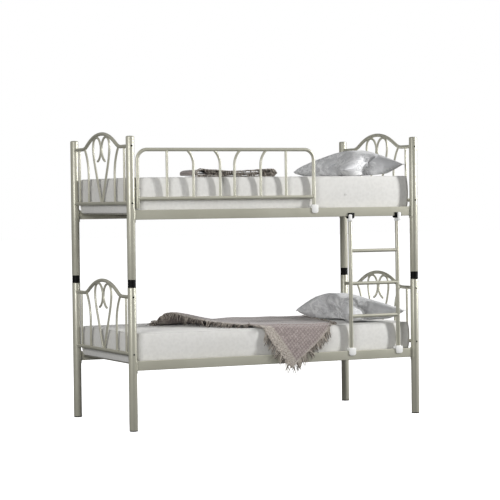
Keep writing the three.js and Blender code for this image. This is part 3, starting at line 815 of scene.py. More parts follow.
def side_rail(bed, side):
    """A box tube between two saddles, with a ledge inside for the wire base."""
    node = f"{bed}_{side}_rail"
    low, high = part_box(node)
    posts = [(post_circle(bed, f"{side}_left"), 1), (post_circle(bed, f"{side}_right"), -1)]
    post_right = posts[1][0]
    y = posts[0][0].y
    rail_low = low.z + SADDLE_BELOW
    rail_high = rail_low + RAIL_HEIGHT
    end = post_right.x - post_right.z - POST_GAP - 0.5 * MM
    form = Form()
    outline = rail_outline(rail_low, rail_high, 5)
    form.loft([[(x, y + across, up) for across, up in outline] for x in (-end, end)])
    inward = 1 if side == "front" else -1
    ledge_top = rail_low + LEDGE_RISE
    edges = sorted([y + inward * (RAIL_THICK / 2 + LEDGE_WIDTH), y + inward * (RAIL_THICK / 2 - 1 * MM)])
    block(form, (-LEDGE_HALF, edges[0], ledge_top - LEDGE_THICK), (LEDGE_HALF, edges[1], ledge_top), 0.7 * MM)
    for post, direction in posts:
        saddle(form, post, direction, low.z, high.z)
        weld_round_rail(form, post, direction, y, rail_low, rail_high)
    stand_in(form, node, "box", "enamel")
    bolts = Form()
    for post, direction in posts:
        for height in (-BOLT_OFFSET, BOLT_OFFSET):
            out = Vector((direction * math.cos(BOLT_TURN), inward * math.sin(BOLT_TURN), 0))
            axis_point = Vector((post.x, y, (rail_low + rail_high) / 2 + height))
            place = axis_point + out * (post.z + POST_GAP + SADDLE_PLATE)
            socket_bolt(bolts, place, out, 5 * MM, 2.2 * MM)
    place_piece(bolts, node + "_bolts", "zinc", frame_body(node))


def rail_outline(low, high, steps):
    """The rail's section in (across, up)."""
    half = RAIL_THICK / 2
    return rounded_outline((-half, low), (half, high), RAIL_EDGE, RAIL_EDGE, steps)


def post_circle(bed, corner):
    """A post's centre in x and y, with its radius in z."""
    low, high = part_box(f"{bed}_post_{corner}")
    return Vector(((low.x + high.x) / 2, (low.y + high.y) / 2, (high.x - low.x) / 2))


def weld_round_rail(form, post, direction, y, low, high):
    """The bead round a rail's end, on the saddle's face."""
    outer = post.z + POST_GAP + SADDLE_PLATE
    outline = rail_outline(low, high, 4)
    path = [Vector((post.x + direction * math.sqrt(outer**2 - across**2), y + across, up))
            for across, up in outline]
    path.append(path[0])
    widths = [1.5 * MM * (1 + 0.3 * noise.noise(p * 300)) for p in path]
    widths[-1] = widths[0]
    form.tube(path, widths, 6)


# ---- end panels ---------------------------------------------------------------------------

PANEL_TUBE_R = 11 * MM
BAR_R = 7 * MM
PANEL_RISE = 343 * MM
CROWN_RISE = 87.5 * MM
CROWN_R = 480 * MM
CROWN_SLOPE = 27.0
CROWN_FOOT_R = 150 * MM
STRAIGHT_BAR = 377 * MM
FLARED_BAR = 220 * MM
FLARE = 68 * MM
FLARE_R = 250 * MM
HOOK = [  # the hooked bar's centre line in (across, up), in millimetres
    (5, 0), (54, 111), (103, 222), (128, 290), (137.5, 345), (127, 388), (96, 408), (62, 408),
    (33, 393), (11.5, 364), (6, 334), (14, 302), (35, 276), (60, 262),
]


def crown_path(reach):
    """The top tube's centre line in (across, up): level ends, easy bends and a long crown."""
    slope = math.radians(CROWN_SLOPE)
    both = CROWN_R + CROWN_FOOT_R
    run = (CROWN_RISE - both * (1 - math.cos(slope))) / math.tan(slope)
    foot = both * math.sin(slope) + run
    crown_centre = PANEL_RISE + CROWN_RISE - CROWN_R
    right = arc((0, crown_centre), CROWN_R, 90, 90 - CROWN_SLOPE, 14)
    right += arc((foot, PANEL_RISE + CROWN_FOOT_R), CROWN_FOOT_R, 270 - CROWN_SLOPE, 270, 10)
    right.append((reach, PANEL_RISE))
    left = [(-across, up) for across, up in reversed(right[1:])]
    return left + right


def flared_path(base, lean, radius, low, high):
    """A bar that rises straight, then leans out by an arc to a higher tube."""
    turn = math.acos(1 - lean / radius)
    bend = high - radius * math.sin(turn)
    return [(base, low)] + arc((base + radius, bend), radius, 180, 180 - math.degrees(turn), 12)


def smooth_curve(points, steps):
    """A Catmull-Rom curve through points."""
    points = [Vector(p) for p in points]
    padded = [2 * points[0] - points[1]] + points + [2 * points[-1] - points[-2]]
    curve = []
    for a, b, c, d in zip(padded, padded[1:], padded[2:], padded[3:]):
        for k in range(steps):
            t = k / steps
            curve.append(0.5 * (2 * b + (c - a) * t + (2 * a - 5 * b + 4 * c - d) * t**2
                                + (3 * b - a - 3 * c + d) * t**3))
    return curve + [points[-1]]


def crown_height(across, path):
    """How high the crown's centre line is at a place across the bed."""
    for (a, low), (b, high) in zip(path, path[1:]):
        if a <= across <= b and b > a:
            return low + (high - low) * (across - a) / (b - a)
    return PANEL_RISE


def end_panel(bed, end):
    """An arched top tube and a straight bottom one, joined by straight, flared and hooked bars."""
    node = f"{bed}_{end}_panel"
    low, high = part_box(node)
    x = (low.x + high.x) / 2
    base = low.z + PANEL_TUBE_R
    post = post_circle(bed, "front_left")
    reach = abs(post.y) - post.z + 3 * MM
    crown = crown_path(reach)

    def world(points):
        return [Vector((x, across, base + up)) for across, up in points]

    form = Form()
    form.tube(world(crown), PANEL_TUBE_R, 24)
    form.tube(world([(-reach, 0), (0, 0), (reach, 0)]), PANEL_TUBE_R, 24)
    flared = flared_path(FLARED_BAR, FLARE, FLARE_R, 0, PANEL_RISE + 3 * MM)
    hook = [(p.x * MM, p.y * MM) for p in smooth_curve(HOOK, 5)]
    straight = [(STRAIGHT_BAR, 0), (STRAIGHT_BAR, PANEL_RISE)]
    for mirror in (1, -1):
        for path in (straight, flared, hook):
            mirrored = [(mirror * across, up) for across, up in path]
            form.tube(world(mirrored), BAR_R, 16, soft_ends=2 * MM)
            rise = Vector((0, mirrored[1][0] - mirrored[0][0], mirrored[1][1] - mirrored[0][1]))
            form.weld(world(mirrored)[0], rise, (0, 1, 0), BAR_R, PANEL_TUBE_R)
        for across in (STRAIGHT_BAR, FLARED_BAR + FLARE):
            top = (mirror * across, crown_height(across, crown))
            form.weld(world([top])[0], (0, 0, -1), (0, 1, 0), BAR_R, PANEL_TUBE_R)
        weld_hook_to_crown(form, [(mirror * a, up) for a, up in hook], crown, world)
        for up in (0, PANEL_RISE):
            landing = (x, mirror * abs(post.y), base + up)
            form.weld(landing, (0, -mirror, 0), (0, 0, 1), PANEL_TUBE_R, post.z, 1.8 * MM)
    stand_in(form, node, "scrolls", "enamel")


def weld_hook_to_crown(form, hook, crown, world):
    """A short bead where a hooked bar runs along the crown's underside."""
    close = []
    for across, up in hook:
        gap = crown_height(across, crown) - up
        if 0 < gap < PANEL_TUBE_R + BAR_R + 3 * MM:
            close.append((across, up + BAR_R * 0.9))
    if len(close) > 2:
        form.tube(world(close), 2 * MM, 8, soft_ends=1.5 * MM)


def panel_bolts(bed, corner, side):
    """Two bolts through a post into the panel's tubes, on the post's outer side, black all over: painted
    shade for their dark sockets.
    """
    post = post_circle(bed, corner)
    panel = f"{bed}_{'foot' if post.x < 0 else 'head'}_panel"
    low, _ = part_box(panel)
    form = Form()
    for up in (0, PANEL_RISE):
        place = (post.x, post.y + side * (post.z - 0.4 * MM), low.z + PANEL_TUBE_R + up)
        socket_bolt(form, place, (0, side, 0), 5.5 * MM, 2.4 * MM)
    # the black look on the whole bolt is painted shade standing for its shadowed socket
    place_piece(form, f"{bed}_panel_bolts_{corner}", "black", frame_body(panel))


# ---- wire bases ---------------------------------------------------------------------------


BASE_THICK = 6 * MM
BASE_BAND = 20 * MM  # the flat frame's width
WIRE_R = 2.6 * MM
WIRE_OVERLAP = 4 * MM  # how far a wire's ends lie on the frame
BASE_ROWS, BASE_COLUMNS = 16, 9
STIFFENER_DEPTH, STIFFENER_WIDTH, STIFFENER_INSET = 14 * MM, 12 * MM, 22 * MM


def wire_base(bed, half_name):
    """Half a base: a flat frame, a mesh of welded round wires and two square stiffeners."""
    node = f"{bed}_wire_base_{half_name}"
    low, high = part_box(node)
    top, bottom = high.z, high.z - BASE_THICK
    band = BASE_BAND
    form = Form()
    edges = [
        ((low.x, low.y, bottom), (high.x, low.y + band, top)),
        ((low.x, high.y - band, bottom), (high.x, high.y, top)),
        ((low.x, low.y + band, bottom), (low.x + band, high.y - band, top)),
        ((high.x - band, low.y + band, bottom), (high.x, high.y - band, top)),
    ]
    for corner, opposite in edges:
        block(form, corner, opposite, 0.9 * MM)
    middle_z = (top + bottom) / 2
    length, width = high.x - low.x - 2 * band, high.y - low.y - 2 * band
    for row in range(1, BASE_ROWS):
        x, z = low.x + band + length * row / BASE_ROWS, middle_z - WIRE_R
        ends = (low.y + band - WIRE_OVERLAP, high.y - band + WIRE_OVERLAP)
        form.tube([(x, y, z) for y in ends], WIRE_R, 8)
    for column in range(1, BASE_COLUMNS):
        y, z = low.y + band + width * column / BASE_COLUMNS, middle_z + WIRE_R * 0.9
        ends = (low.x + band - WIRE_OVERLAP, high.x - band + WIRE_OVERLAP)
        form.tube([(x, y, z) for x in ends], WIRE_R, 8)
    for share in (3 / 8, 6 / 8):
        inner = share if low.x > -0.1 else 1 - share
        x = low.x + band + length * inner
        block(form, (x - STIFFENER_WIDTH / 2, low.y + STIFFENER_INSET, bottom - STIFFENER_DEPTH),
              (x + STIFFENER_WIDTH / 2, high.y - STIFFENER_INSET, bottom + 0.5 * MM), 1.2 * MM)
    stand_in(form, node, "mesh", "wire")


# ---- guard rail ---------------------------------------------------------------------------

GUARD_TUBE_R = 11 * MM
GUARD_BAR_R = 8 * MM
GUARD_CORNER = 62 * MM
GUARD_LEG = 57 * MM  # from the bottom tube's centre down to the legs' ends
GUARD_STRAIGHT = 401 * MM
GUARD_CURVED = (48.5 * MM, 226.5 * MM)
GUARD_FLARE = 38 * MM
GUARD_FLARE_R = 122 * MM
GUARD_CLIP_HALF = 23 * MM
LADDER_CLIP_HALF = 25 * MM
CLIP_WALL = 4 * MM
CLIP_INSIDE = 17 * MM  # how far a clip's inner cheek reaches down the rail
CLIP_RIM = 3.4 * MM  # the socket's wall round the tube
SPACER_BORE_R = 3.2 * MM
BOLT_R = 3 * MM


def guard_rail():
    """A bent tube with a bottom tube and balusters: one upright and two flared on each side."""
    low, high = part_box("guard_rail")
    left, right = low.x + GUARD_TUBE_R, high.x - GUARD_TUBE_R
    y = (low.y + high.y) / 2
    top, leg_end = high.z - GUARD_TUBE_R, low.z
    bottom = leg_end + GUARD_LEG
    r = GUARD_CORNER
    frame_path = [(left, leg_end), (left, bottom)]
    frame_path += arc((left + r, top - r), r, 180, 90, 14)
    frame_path += [((left + right) / 2, top)]
    frame_path += arc((right - r, top - r), r, 90, 0, 14)
    frame_path += [(right, bottom), (right, leg_end)]

    def world(points):
        return [Vector((across, y, up)) for across, up in points]

    form = Form()
    form.tube(world(frame_path), GUARD_TUBE_R, 24, soft_ends=1 * MM)
    bottom_r = GUARD_TUBE_R - 0.3 * MM
    form.tube(world([(left, bottom), (right, bottom)]), bottom_r, 24)
    for x, out in ((left, 1), (right, -1)):
        form.weld(world([(x, bottom)])[0], (out, 0, 0), (0, 0, 1), bottom_r, GUARD_TUBE_R)
    centre = (left + right) / 2
    for mirror in (1, -1):
        bars = [[(GUARD_STRAIGHT, bottom), (GUARD_STRAIGHT, top)]]
        bars += [flared_path(offset, GUARD_FLARE, GUARD_FLARE_R, bottom, top - 5 * MM)
                 for offset in GUARD_CURVED]
        for bar in bars:
            path = world([(centre + mirror * across, up) for across, up in bar])
            form.tube(path, GUARD_BAR_R, 16)
            form.weld(path[0], (0, 0, 1), (1, 0, 0), GUARD_BAR_R, GUARD_TUBE_R)
            foot = Vector((path[-1].x, y, top))
            form.weld(foot, path[-2] - path[-1], (1, 0, 0), GUARD_BAR_R, GUARD_TUBE_R)
    stand_in(form, "guard_rail", "frame", "enamel")
    add_spacer()
    add_guard_bolt()
    clip = "guard_rail_clip"
    rail_clip(clip, "upper", middle(clip).x, GUARD_CLIP_HALF, GUARD_TUBE_R)


def add_spacer():
    """The sleeve between the post and the guard rail's leg."""
    low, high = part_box("guard_rail_spacer")
    radius, half, lip = (high.z - low.z) / 2, (high.x - low.x) / 2, 0.5 * MM
    form = Form()
    form.turned([(SPACER_BORE_R, -half), (radius - lip, -half), (radius, -half + 0.8 * MM),
                 (radius, half - 0.8 * MM), (radius - lip, half), (SPACER_BORE_R, half)],
                (low + high) / 2, "x", 28)
    stand_in(form, "guard_rail_spacer", "sleeve", "enamel")


def add_guard_bolt():
    """A threaded bolt with a nut and a domed end."""
    low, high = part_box("guard_rail_bolt")
    centre = Vector((high.x, (low.y + high.y) / 2, (low.z + high.z) / 2))
    length = high.x - low.x
    thread_end, pitch, turns = -9 * MM, 1.0 * MM, 28
    threads = [(0, -length)]
    for k in range(turns):
        place = -length + 0.8 * MM + k * pitch
        threads += [(BOLT_R - 0.5 * MM, place), (BOLT_R, place + 0.5 * MM)]
    form = Form()
    form.turned(threads + [(BOLT_R, thread_end), (0, thread_end)], centre, "x", 24)
    form.turned([(0, thread_end), (4.6 * MM, thread_end), (4.6 * MM, -4 * MM), (3.9 * MM, -1.8 * MM),
                 (2.2 * MM, -0.4 * MM), (0, 0)], centre, "x", 32)
    hexagon_nut(form, centre + Vector((thread_end, 0, 0)), 5 * MM, 6.4 * MM)
    stand_in(form, "guard_rail_bolt", "nut", "zinc")


def hexagon_nut(form, face, thick, radius):
    rings = []
    for place, size in ((0, 0.9), (0.12, 1.0), (0.88, 1.0), (1.0, 0.9)):
        ring = []
        for k in range(6):
            turn = math.radians(60 * k + 30)
            reach = radius * size
            ring.append(face + Vector((place * thick, reach * math.cos(turn), reach * math.sin(turn))))
        rings.append(ring)
    form.loft(rings)


def rail_clip(node, bed, tube_x, half, tube_radius):
    """A plastic clip over a rail's top edge, its rounded skirt in front, with a tube's socket."""
    low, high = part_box(node)
    rail_low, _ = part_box(f"{bed}_front_rail")
    rail_top = rail_low.z + SADDLE_BELOW + RAIL_HEIGHT
    left, right = tube_x - half, tube_x + half
    y = (low.y + high.y) / 2
    form = Form()
    plate(form, (left, low.y, low.z), (right, low.y + CLIP_WALL, high.z), (half * 0.62, 4 * MM), 8, 1.2 * MM)
    plate(form, (left, high.y - CLIP_WALL, rail_top - CLIP_INSIDE), (right, high.y, high.z),
          (4 * MM, 4 * MM), 6, 1.2 * MM)
    plate(form, (left + 0.4 * MM, low.y + 0.5 * MM, rail_top + POST_GAP),
          (right - 0.4 * MM, high.y - 0.5 * MM, high.z - 0.2 * MM), (1.5 * MM, 4 * MM), 6, 0.8 * MM)
    base, rim = high.z - 1.5 * MM, high.z + 2.5 * MM
    bore, outer = tube_radius + POST_GAP, tube_radius + CLIP_RIM
    form.collar(tube_x, y, [(bore, base), (outer + 1 * MM, base), (outer, rim - 1 * MM),
                            (outer - 1 * MM, rim), (bore, rim)], 32)
    has_lug = high.x - low.x > 2 * half + 5 * MM
    if has_lug:
        block(form, (low.x, low.y + 1.6 * MM, rail_top + POST_GAP), (high.x, y, high.z - 3 * MM), 1.5 * MM)
    stand_in(form, node, "moulding", "white")


# ---- ladder -------------------------------------------------------------------------------


STILE_R = 12.5 * MM
STILE_WALL = 1.5 * MM
STILE_LIP = 0.6 * MM
HOOK_WALL = 4 * MM
RIB_HALF = 1.2 * MM
TAB_SHIFT = {"left": -9 * MM, "right": 6 * MM}  # from a stile's axis to its collar's snap tab


def ladder():
    stiles = [middle("ladder_stile_left"), middle("ladder_stile_right")]
    for side in ("left", "right"):
        node = f"ladder_stile_{side}"
        low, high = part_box(node)
        radius, half = (high.x - low.x) / 2, (high.z - low.z) / 2
        form = Form()
        form.turned(tube_section(radius, half, STILE_WALL, STILE_LIP), (low + high) / 2, sides=32)
        stand_in(form, node, "tube", "enamel")
        rail_clip(f"ladder_foot_clip_{side}", "lower", middle(node).x, LADDER_CLIP_HALF, radius)
        ladder_hook(side)
        ladder_collar(side)
    for number in (1, 2, 3):
        node = f"ladder_rung_{number}"
        low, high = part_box(node)
        centre = (low + high) / 2
        radius = (high.z - low.z) / 2
        form = Form()
        ends = [stiles[0].x + STILE_R - 3 * MM, stiles[1].x - STILE_R + 3 * MM]
        form.tube([(x, centre.y, centre.z) for x in (ends[0], centre.x, ends[1])], radius, 24)
        for stile, out in zip(stiles, (1, -1)):
            form.weld((stile.x, centre.y, centre.z), (out, 0, 0), (0, 0, 1), radius, STILE_R, 1.5 * MM)
        stand_in(form, node, "bar", "enamel")


def ladder_hook(side):
    """A black channel that takes the upper rail's lower edge, with two ribs down its front."""
    node = f"ladder_hook_{side}"
    low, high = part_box(node)
    rail_low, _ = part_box("upper_front_rail")
    slot_low = rail_low.z + SADDLE_BELOW - POST_GAP
    form = Form()
    for front, back in ((low.y, low.y + HOOK_WALL), (high.y - HOOK_WALL, high.y)):
        plate(form, (low.x, front, low.z), (high.x, back, high.z), (11 * MM, 2.5 * MM), 8, 1 * MM)
    plate(form, (low.x + 2 * MM, low.y + 1.5 * MM, low.z + 0.5 * MM),
          (high.x - 2 * MM, high.y - 1.5 * MM, slot_low), (5.5 * MM, 1 * MM), 6, 0.5 * MM)
    for x in (low.x + 9 * MM, high.x - 9 * MM):
        block(form, (x - RIB_HALF, low.y - 0.8 * MM, low.z + 9 * MM),
              (x + RIB_HALF, low.y + 1 * MM, high.z - 4 * MM), 0.5 * MM)
    stand_in(form, node, "channel", "black")


def ladder_collar(side):
    """A white collar on a stile's top, with a snap tab in front of the hook."""
    node = f"ladder_collar_{side}"
    low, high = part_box(node)
    stile = middle(f"ladder_stile_{side}")
    hook_low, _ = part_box(f"ladder_hook_{side}")
    top = hook_low.z - POST_GAP
    bore, rim, outer, lip = STILE_R + POST_GAP, STILE_R + 2.4 * MM, STILE_R + 3 * MM, 0.8 * MM
    form = Form()
    form.collar(stile.x, stile.y, [(bore, low.z), (rim, low.z), (outer, low.z + lip), (outer, top - lip),
                                   (rim, top), (bore, top)], 36)
    tab_x, foot = stile.x + TAB_SHIFT[side], low.z + 6 * MM
    plate(form, (tab_x - 12 * MM, low.y, foot), (tab_x + 12 * MM, low.y + 5 * MM, high.z),
          (4 * MM, 8 * MM), 7, 1.5 * MM)
    block(form, (tab_x - 8 * MM, low.y + 3 * MM, foot),
          (tab_x + 8 * MM, stile.y - STILE_R, top - 3 * MM), 1 * MM)
    stand_in(form, node, "snap", "white")


# ---- mattresses ---------------------------------------------------------------------------

MATTRESS_CORNER = 26 * MM
OUTLINE_PITCH = 32 * MM
EDGE_R = 14 * MM  # the rounding where the sides turn into the top and the base
CROWN = 1 * MM
SWELL = 6 * MM  # how far the sides swell past the box's
SIDE_RUFFLE, EDGE_RUFFLE = 3 * MM, 1.5 * MM
SIDE_LEVELS = 9
TOP_SHARES = (0.08, 0.14, 0.22, 0.32, 0.44, 0.58, 0.72, 0.86, 0.97)  # of the way to the spine
BINDING_R = 2.2 * MM
BINDING_INSET = 3.2 * MM


def plan_outline(low, high, corner, pitch):
    """A rounded rectangle as seen from above, with points every pitch or so."""
    outline = []
    sides = [
        ((high.x - corner, low.y), (1, 0), -90), ((high.x, high.y - corner), (0, 1), 0),
        ((low.x + corner, high.y), (-1, 0), 90), ((low.x, low.y + corner), (0, -1), 180),
    ]
    centres = [(high.x - corner, low.y + corner), (high.x - corner, high.y - corner),
               (low.x + corner, high.y - corner), (low.x + corner, low.y + corner)]
    for (end, direction, start), centre in zip(sides, centres):
        length = (high.x - low.x if direction[0] else high.y - low.y) - 2 * corner
        count = round(length / pitch)
        for k in range(count):
            back = length * (1 - k / count)
            outline.append((end[0] - direction[0] * back, end[1] - direction[1] * back))
        outline += arc(centre, corner, start, start + 90, 10)[:-1]
    return outline


def mattress(bed):
    """A foam mattress in a stretched cover: crowned, its sides swelling between two bindings."""
    node = f"{bed}_mattress"
    low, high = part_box(node)
    outline = plan_outline(low, high, MATTRESS_CORNER, OUTLINE_PITCH)
    half_width = (high.y - low.y) / 2
    spine = (high.x - low.x) / 2 - half_width
    centre = (low + high) / 2

    def ring(inset, z, ruffle=0.0):
        share = inset / half_width
        points = []
        for x, y in outline:
            toward = Vector((max(-spine, min(spine, x - centre.x)) + centre.x, centre.y))
            flat = Vector((x, y)).lerp(toward, share)
            wave = noise.noise(Vector((flat.x * 3.1, flat.y * 3.1, z * 4 + half_width)))
            out = (Vector((x, y)) - toward).normalized() * (ruffle * wave)
            points.append(Vector((flat.x + out.x, flat.y + out.y, z)))
        return points

    rings = [ring(half_width * 0.97, low.z), ring(half_width * 0.5, low.z), ring(60 * MM, low.z)]
    for k in range(5):
        turn = math.radians(90 * k / 4)
        rise = EDGE_R * (1 - math.cos(turn))
        rings.append(ring(EDGE_R * (1 - math.sin(turn)), low.z + rise, EDGE_RUFFLE))
    side_low, side_high = low.z + EDGE_R, high.z - CROWN - EDGE_R
    for k in range(1, SIDE_LEVELS):
        share = k / SIDE_LEVELS
        bulge = SWELL * math.sin(math.pi * share) ** 0.7
        rings.append(ring(-bulge, side_low + (side_high - side_low) * share, SIDE_RUFFLE))
    for k in range(7):
        turn = math.radians(90 * k / 6)
        rise = EDGE_R * math.sin(turn)
        rings.append(ring(EDGE_R * (1 - math.cos(turn)), side_high + rise, EDGE_RUFFLE))
    for share in TOP_SHARES:
        flat = ring(half_width * share, high.z - CROWN * (1 - share) ** 3)
        for p in flat:
            p.z += 1.6 * MM * noise.noise(Vector((p.x * 4, p.y * 4, 3))) * (1 - (1 - share) ** 4)
        rings.append(flat)
    form = Form()
    form.loft(rings)
    pad = stand_in(form, node, "pad", "ticking", 180)
    for label, z in (("top", side_high + 9.0 * MM), ("bottom", low.z + 6.0 * MM)):
        welt = Form()
        welt.closed_cord(ring(BINDING_INSET, z, EDGE_RUFFLE), BINDING_R)
        place_piece(welt, f"{node}_binding_{label}", "tape", frame_body(node))


def vent(bed, x):
    """A small mesh-covered air vent in the mattress's front border."""
    node = f"{bed}_mattress"
    low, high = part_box(node)
    place = Vector((x, low.y - 5.5 * MM, low.z + 0.47 * (high.z - low.z)))
    form = Form()
    form.turned([(0, 0.2 * MM), (4 * MM, 0.2 * MM), (4.6 * MM, -0.6 * MM), (5.6 * MM, -1.2 * MM),
                 (7 * MM, -0.9 * MM), (7.6 * MM, 0), (7 * MM, 3 * MM), (0, 3 * MM)], place, "y", 32)
    place_piece(form, f"{node}_vent", "tape", frame_body(node))


# ---- pillows ------------------------------------------------------------------------------

PILLOW_FLAT = (0.5, 0.74)  # the sewn sheets, before they are filled
PILLOW_PITCH = 11 * MM
CORNER_PULL = 0.03
SEAM_MERGE = 0.01 * MM
PIPING_R = 1.8 * MM
FILLING_FRAMES = 30
FILLING_PRESSURE = 3.2
SATIN_STIFFNESS = 12.0
UNDERSIDE = 0.42  # the flat underside's depth, as a share of the filled half height
UNDERSIDE_CURVE = 0.06  # how much of the swelling the flat underside keeps
TIP_FADE = 0.35  # how much less the crown tips than the seam


def flat_pillow():
    """Two sheets, a hair apart, sewn together round their edge: the pillow before filling."""
    length, width = PILLOW_FLAT
    across, along = round(length / PILLOW_PITCH), round(width / PILLOW_PITCH)
    form = Form()
    for side in (1, -1):
        verts = []
        for i in range(across + 1):
            for j in range(along + 1):
                u, v = 2 * i / across - 1, 2 * j / along - 1
                pull = 1 - CORNER_PULL * (abs(u) * abs(v)) ** 4
                lift = side * 14 * MM * (1 - max(abs(u), abs(v)) ** 6)
                verts.append((u * pull * length / 2, v * pull * width / 2, lift))
        faces = []
        for i in range(across):
            for j in range(along):
                a = i * (along + 1) + j
                faces.append((a, a + 1, a + along + 2, a + along + 1))
        form.add(verts, faces)
    mesh = form.mesh("pillow_sheets")
    work = bmesh.new()
    work.from_mesh(mesh)
    bmesh.ops.remove_doubles(work, verts=work.verts, dist=SEAM_MERGE)
    work.to_mesh(mesh)
    work.free()
    finish_mesh(mesh, 180)
    return mesh


def simulated(mesh):
    """The mesh after its filling has swelled it, as a new mesh with no modifier left."""
    scene = bpy.context.scene
    worker = new_worker(mesh)
    cloth = worker.modifiers.new("cloth", "CLOTH")
    cloth.collision_settings.use_collision = False
    cloth.point_cache.frame_start = 1
    cloth.point_cache.frame_end = FILLING_FRAMES
    settings = cloth.settings
    settings.quality = 6
    settings.mass = 0.25
    settings.tension_stiffness = SATIN_STIFFNESS
    settings.compression_stiffness = SATIN_STIFFNESS
    settings.shear_stiffness = SATIN_STIFFNESS * 0.4
    settings.bending_stiffness = 0.3
    settings.use_pressure = True
    settings.uniform_pressure_force = FILLING_PRESSURE
    settings.effector_weights.gravity = 0
    for number in range(1, FILLING_FRAMES + 1):
        scene.frame_set(number)
    result = baked(worker)
    scene.frame_set(1)
    return result


def subdivided(mesh):
    worker = new_worker(mesh)
    worker.modifiers.new("smooth", "SUBSURF")
    bpy.context.view_layer.update()
    return baked(worker)


def pillow(bed, turn, tilt, lean, seed):
    """A sewn satin pillow, filled by a cloth simulation, settled on what it lies on.

    It turns about Z, tips by a share of its height and leans its crown by a vector.
    """
    node = f"{bed}_pillow"
    low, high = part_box(node)
    size = high - low
    mesh = flat_pillow()
    for v in mesh.vertices:
        v.co.z += 3 * MM * noise.noise(Vector((v.co.x * 9, v.co.y * 9, seed)))
    mesh = simulated(mesh)
    work = bmesh.new()
    work.from_mesh(mesh)
    seam = ordered_seam(work)
    settle(work.verts, turn, tilt, lean)
    spans = []
    for axis in range(3):
        values = [v.co[axis] for v in work.verts]
        spans.append((min(values), max(values)))
    for v in work.verts:
        for axis in range(3):
            start, end = spans[axis]
            v.co[axis] = low[axis] + (v.co[axis] - start) / (end - start) * size[axis]
    path = [work.verts[i].co.copy() for i in seam]
    work.to_mesh(mesh)
    work.free()
    pad = stand_in(subdivided(mesh), node, "cover", "satin", 180)
    piping = Form()
    piping.closed_cord(path, PIPING_R)
    place_piece(piping, node + "_piping", "satin", frame_body(node))


def settle(verts, turn, tilt, lean):
    """Flattens a filled pillow's underside, then leans, tips and turns it; its height becomes 1."""
    top = max(v.co.z for v in verts)
    bottom = min(v.co.z for v in verts)
    span = [max(abs(v.co[axis]) for v in verts) for axis in (0, 1)]
    rest = -UNDERSIDE * (top - bottom) / 2
    turned = Matrix.Rotation(turn, 3, "Z")
    for v in verts:
        x, y, z = v.co
        z = rest - (rest - z) * UNDERSIDE_CURVE if z < rest else z
        lift = (z - rest) / (top - rest)
        x, y = x + lean.x * max(z / top, 0), y + lean.y * max(z / top, 0)
        edge = math.hypot(x / span[0], y / span[1])
        droop = tilt * (x / span[0]) * (1 - TIP_FADE * lift)
        v.co = turned @ Vector((x, y, 0)) + Vector((0, 0, lift + droop * max(edge - 0.5, 0)))


def ordered_seam(work):
    """The indices of the vertices round the seam, in order: the sheets' shared edge."""
    work.verts.ensure_lookup_table()
    sheet_faces = len(work.faces) // 2
    links = {}
    for edge in work.edges:
        low, high = sorted(face.index for face in edge.link_faces)
        if low < sheet_faces <= high:
            a, b = (v.index for v in edge.verts)
            links.setdefault(a, []).append(b)
            links.setdefault(b, []).append(a)
    start = next(iter(links))
    ring, before, here = [start], None, start
    while True:
        following = [n for n in links[here] if n != before]
        if not following or following[0] == start:
            break
        before, here = here, following[0]
        ring.append(here)
    return ring


# ---- throws -------------------------------------------------------------------------------

# for the beige yarn, and for the same yarn painted darker where its strands lie on the bed or over the folds
# (painted shade), the ranges of its dark strands' shades and of its light ones'
YARN_SHADES = {"beige": ((0.0, 0.25), (0.7, 1.3)), "shaded_beige": ((-0.15, 0.1), (0.4, 1.0))}
DARK_STRANDS = 0.4
STRAND_WIDTHS = (1.0, 1.05, 0.95, 0.95, 0.85, 0.6)  # along a strand, as shares of its radius
HANG_BELOW = 0.575  # strands whose root is lower than this hang in front of the mattress


def strand(form, root, outward, length, sag, radius, shade, floor=None):
    """One limp twist of fringe yarn, from its root outward, sinking as it goes."""
    outward = Vector(outward).normalized()
    wander = Vector([RANDOM.uniform(-1, 1) for _ in range(3)]) * 0.16
    path, steps = [], len(STRAND_WIDTHS) - 1
    for k in range(steps + 1):
        t = k / steps
        drop = Vector((0, 0, -1)) * (sag * t * t)
        place = Vector(root) + (outward * t + wander * t * t + drop) * length
        if floor is not None:
            place.z = max(place.z, floor + radius)
        path.append(place)
    widths = [radius * w for w in STRAND_WIDTHS]
    form.tube(path, widths, 5, mark=(shade, 0, 0))


def yarn_shade(colour):
    dark, light = YARN_SHADES[colour]
    return RANDOM.uniform(*(dark if RANDOM.random() < DARK_STRANDS else light))


def clump(place, seed):
    """How neighbouring strands lean together, as a vector."""
    scaled = place * 38
    return Vector([noise.noise(scaled + Vector((seed, 7 * axis, 0))) for axis in range(3)])


def thick_sheet(form, grid, marks, thick):
    """A cloth from a grid of points on one face, closed all round."""
    rows, columns = len(grid), len(grid[0])
    normals = []
    for i in range(rows):
        line = []
        for j in range(columns):
            a = grid[min(i + 1, rows - 1)][j] - grid[max(i - 1, 0)][j]
            b = grid[i][min(j + 1, columns - 1)] - grid[i][max(j - 1, 0)]
            normal = b.cross(a)
            line.append(normal.normalized() if normal.length > 1e-12 else Vector((0, 0, 1)))
        normals.append(line)
    verts = [grid[i][j] for i in range(rows) for j in range(columns)]
    verts += [grid[i][j] + normals[i][j] * thick for i in range(rows) for j in range(columns)]
    count = rows * columns
    faces = []
    for i in range(rows - 1):
        for j in range(columns - 1):
            a, b = i * columns + j, i * columns + j + 1
            c, d = b + columns, a + columns
            faces += [(a, b, c, d), (count + d, count + c, count + b, count + a)]
    rim = [(0, j) for j in range(columns - 1)] + [(i, columns - 1) for i in range(rows - 1)]
    rim += [(rows - 1, j) for j in range(columns - 1, 0, -1)] + [(i, 0) for i in range(rows - 1, 0, -1)]
    for (i, j), (k, m) in zip(rim, rim[1:] + rim[:1]):
        a, b = i * columns + j, k * columns + m
        faces.append((b, a, count + a, count + b))
    flat = [mark for line in marks for mark in line]
    form.add(verts, faces, flat + flat)


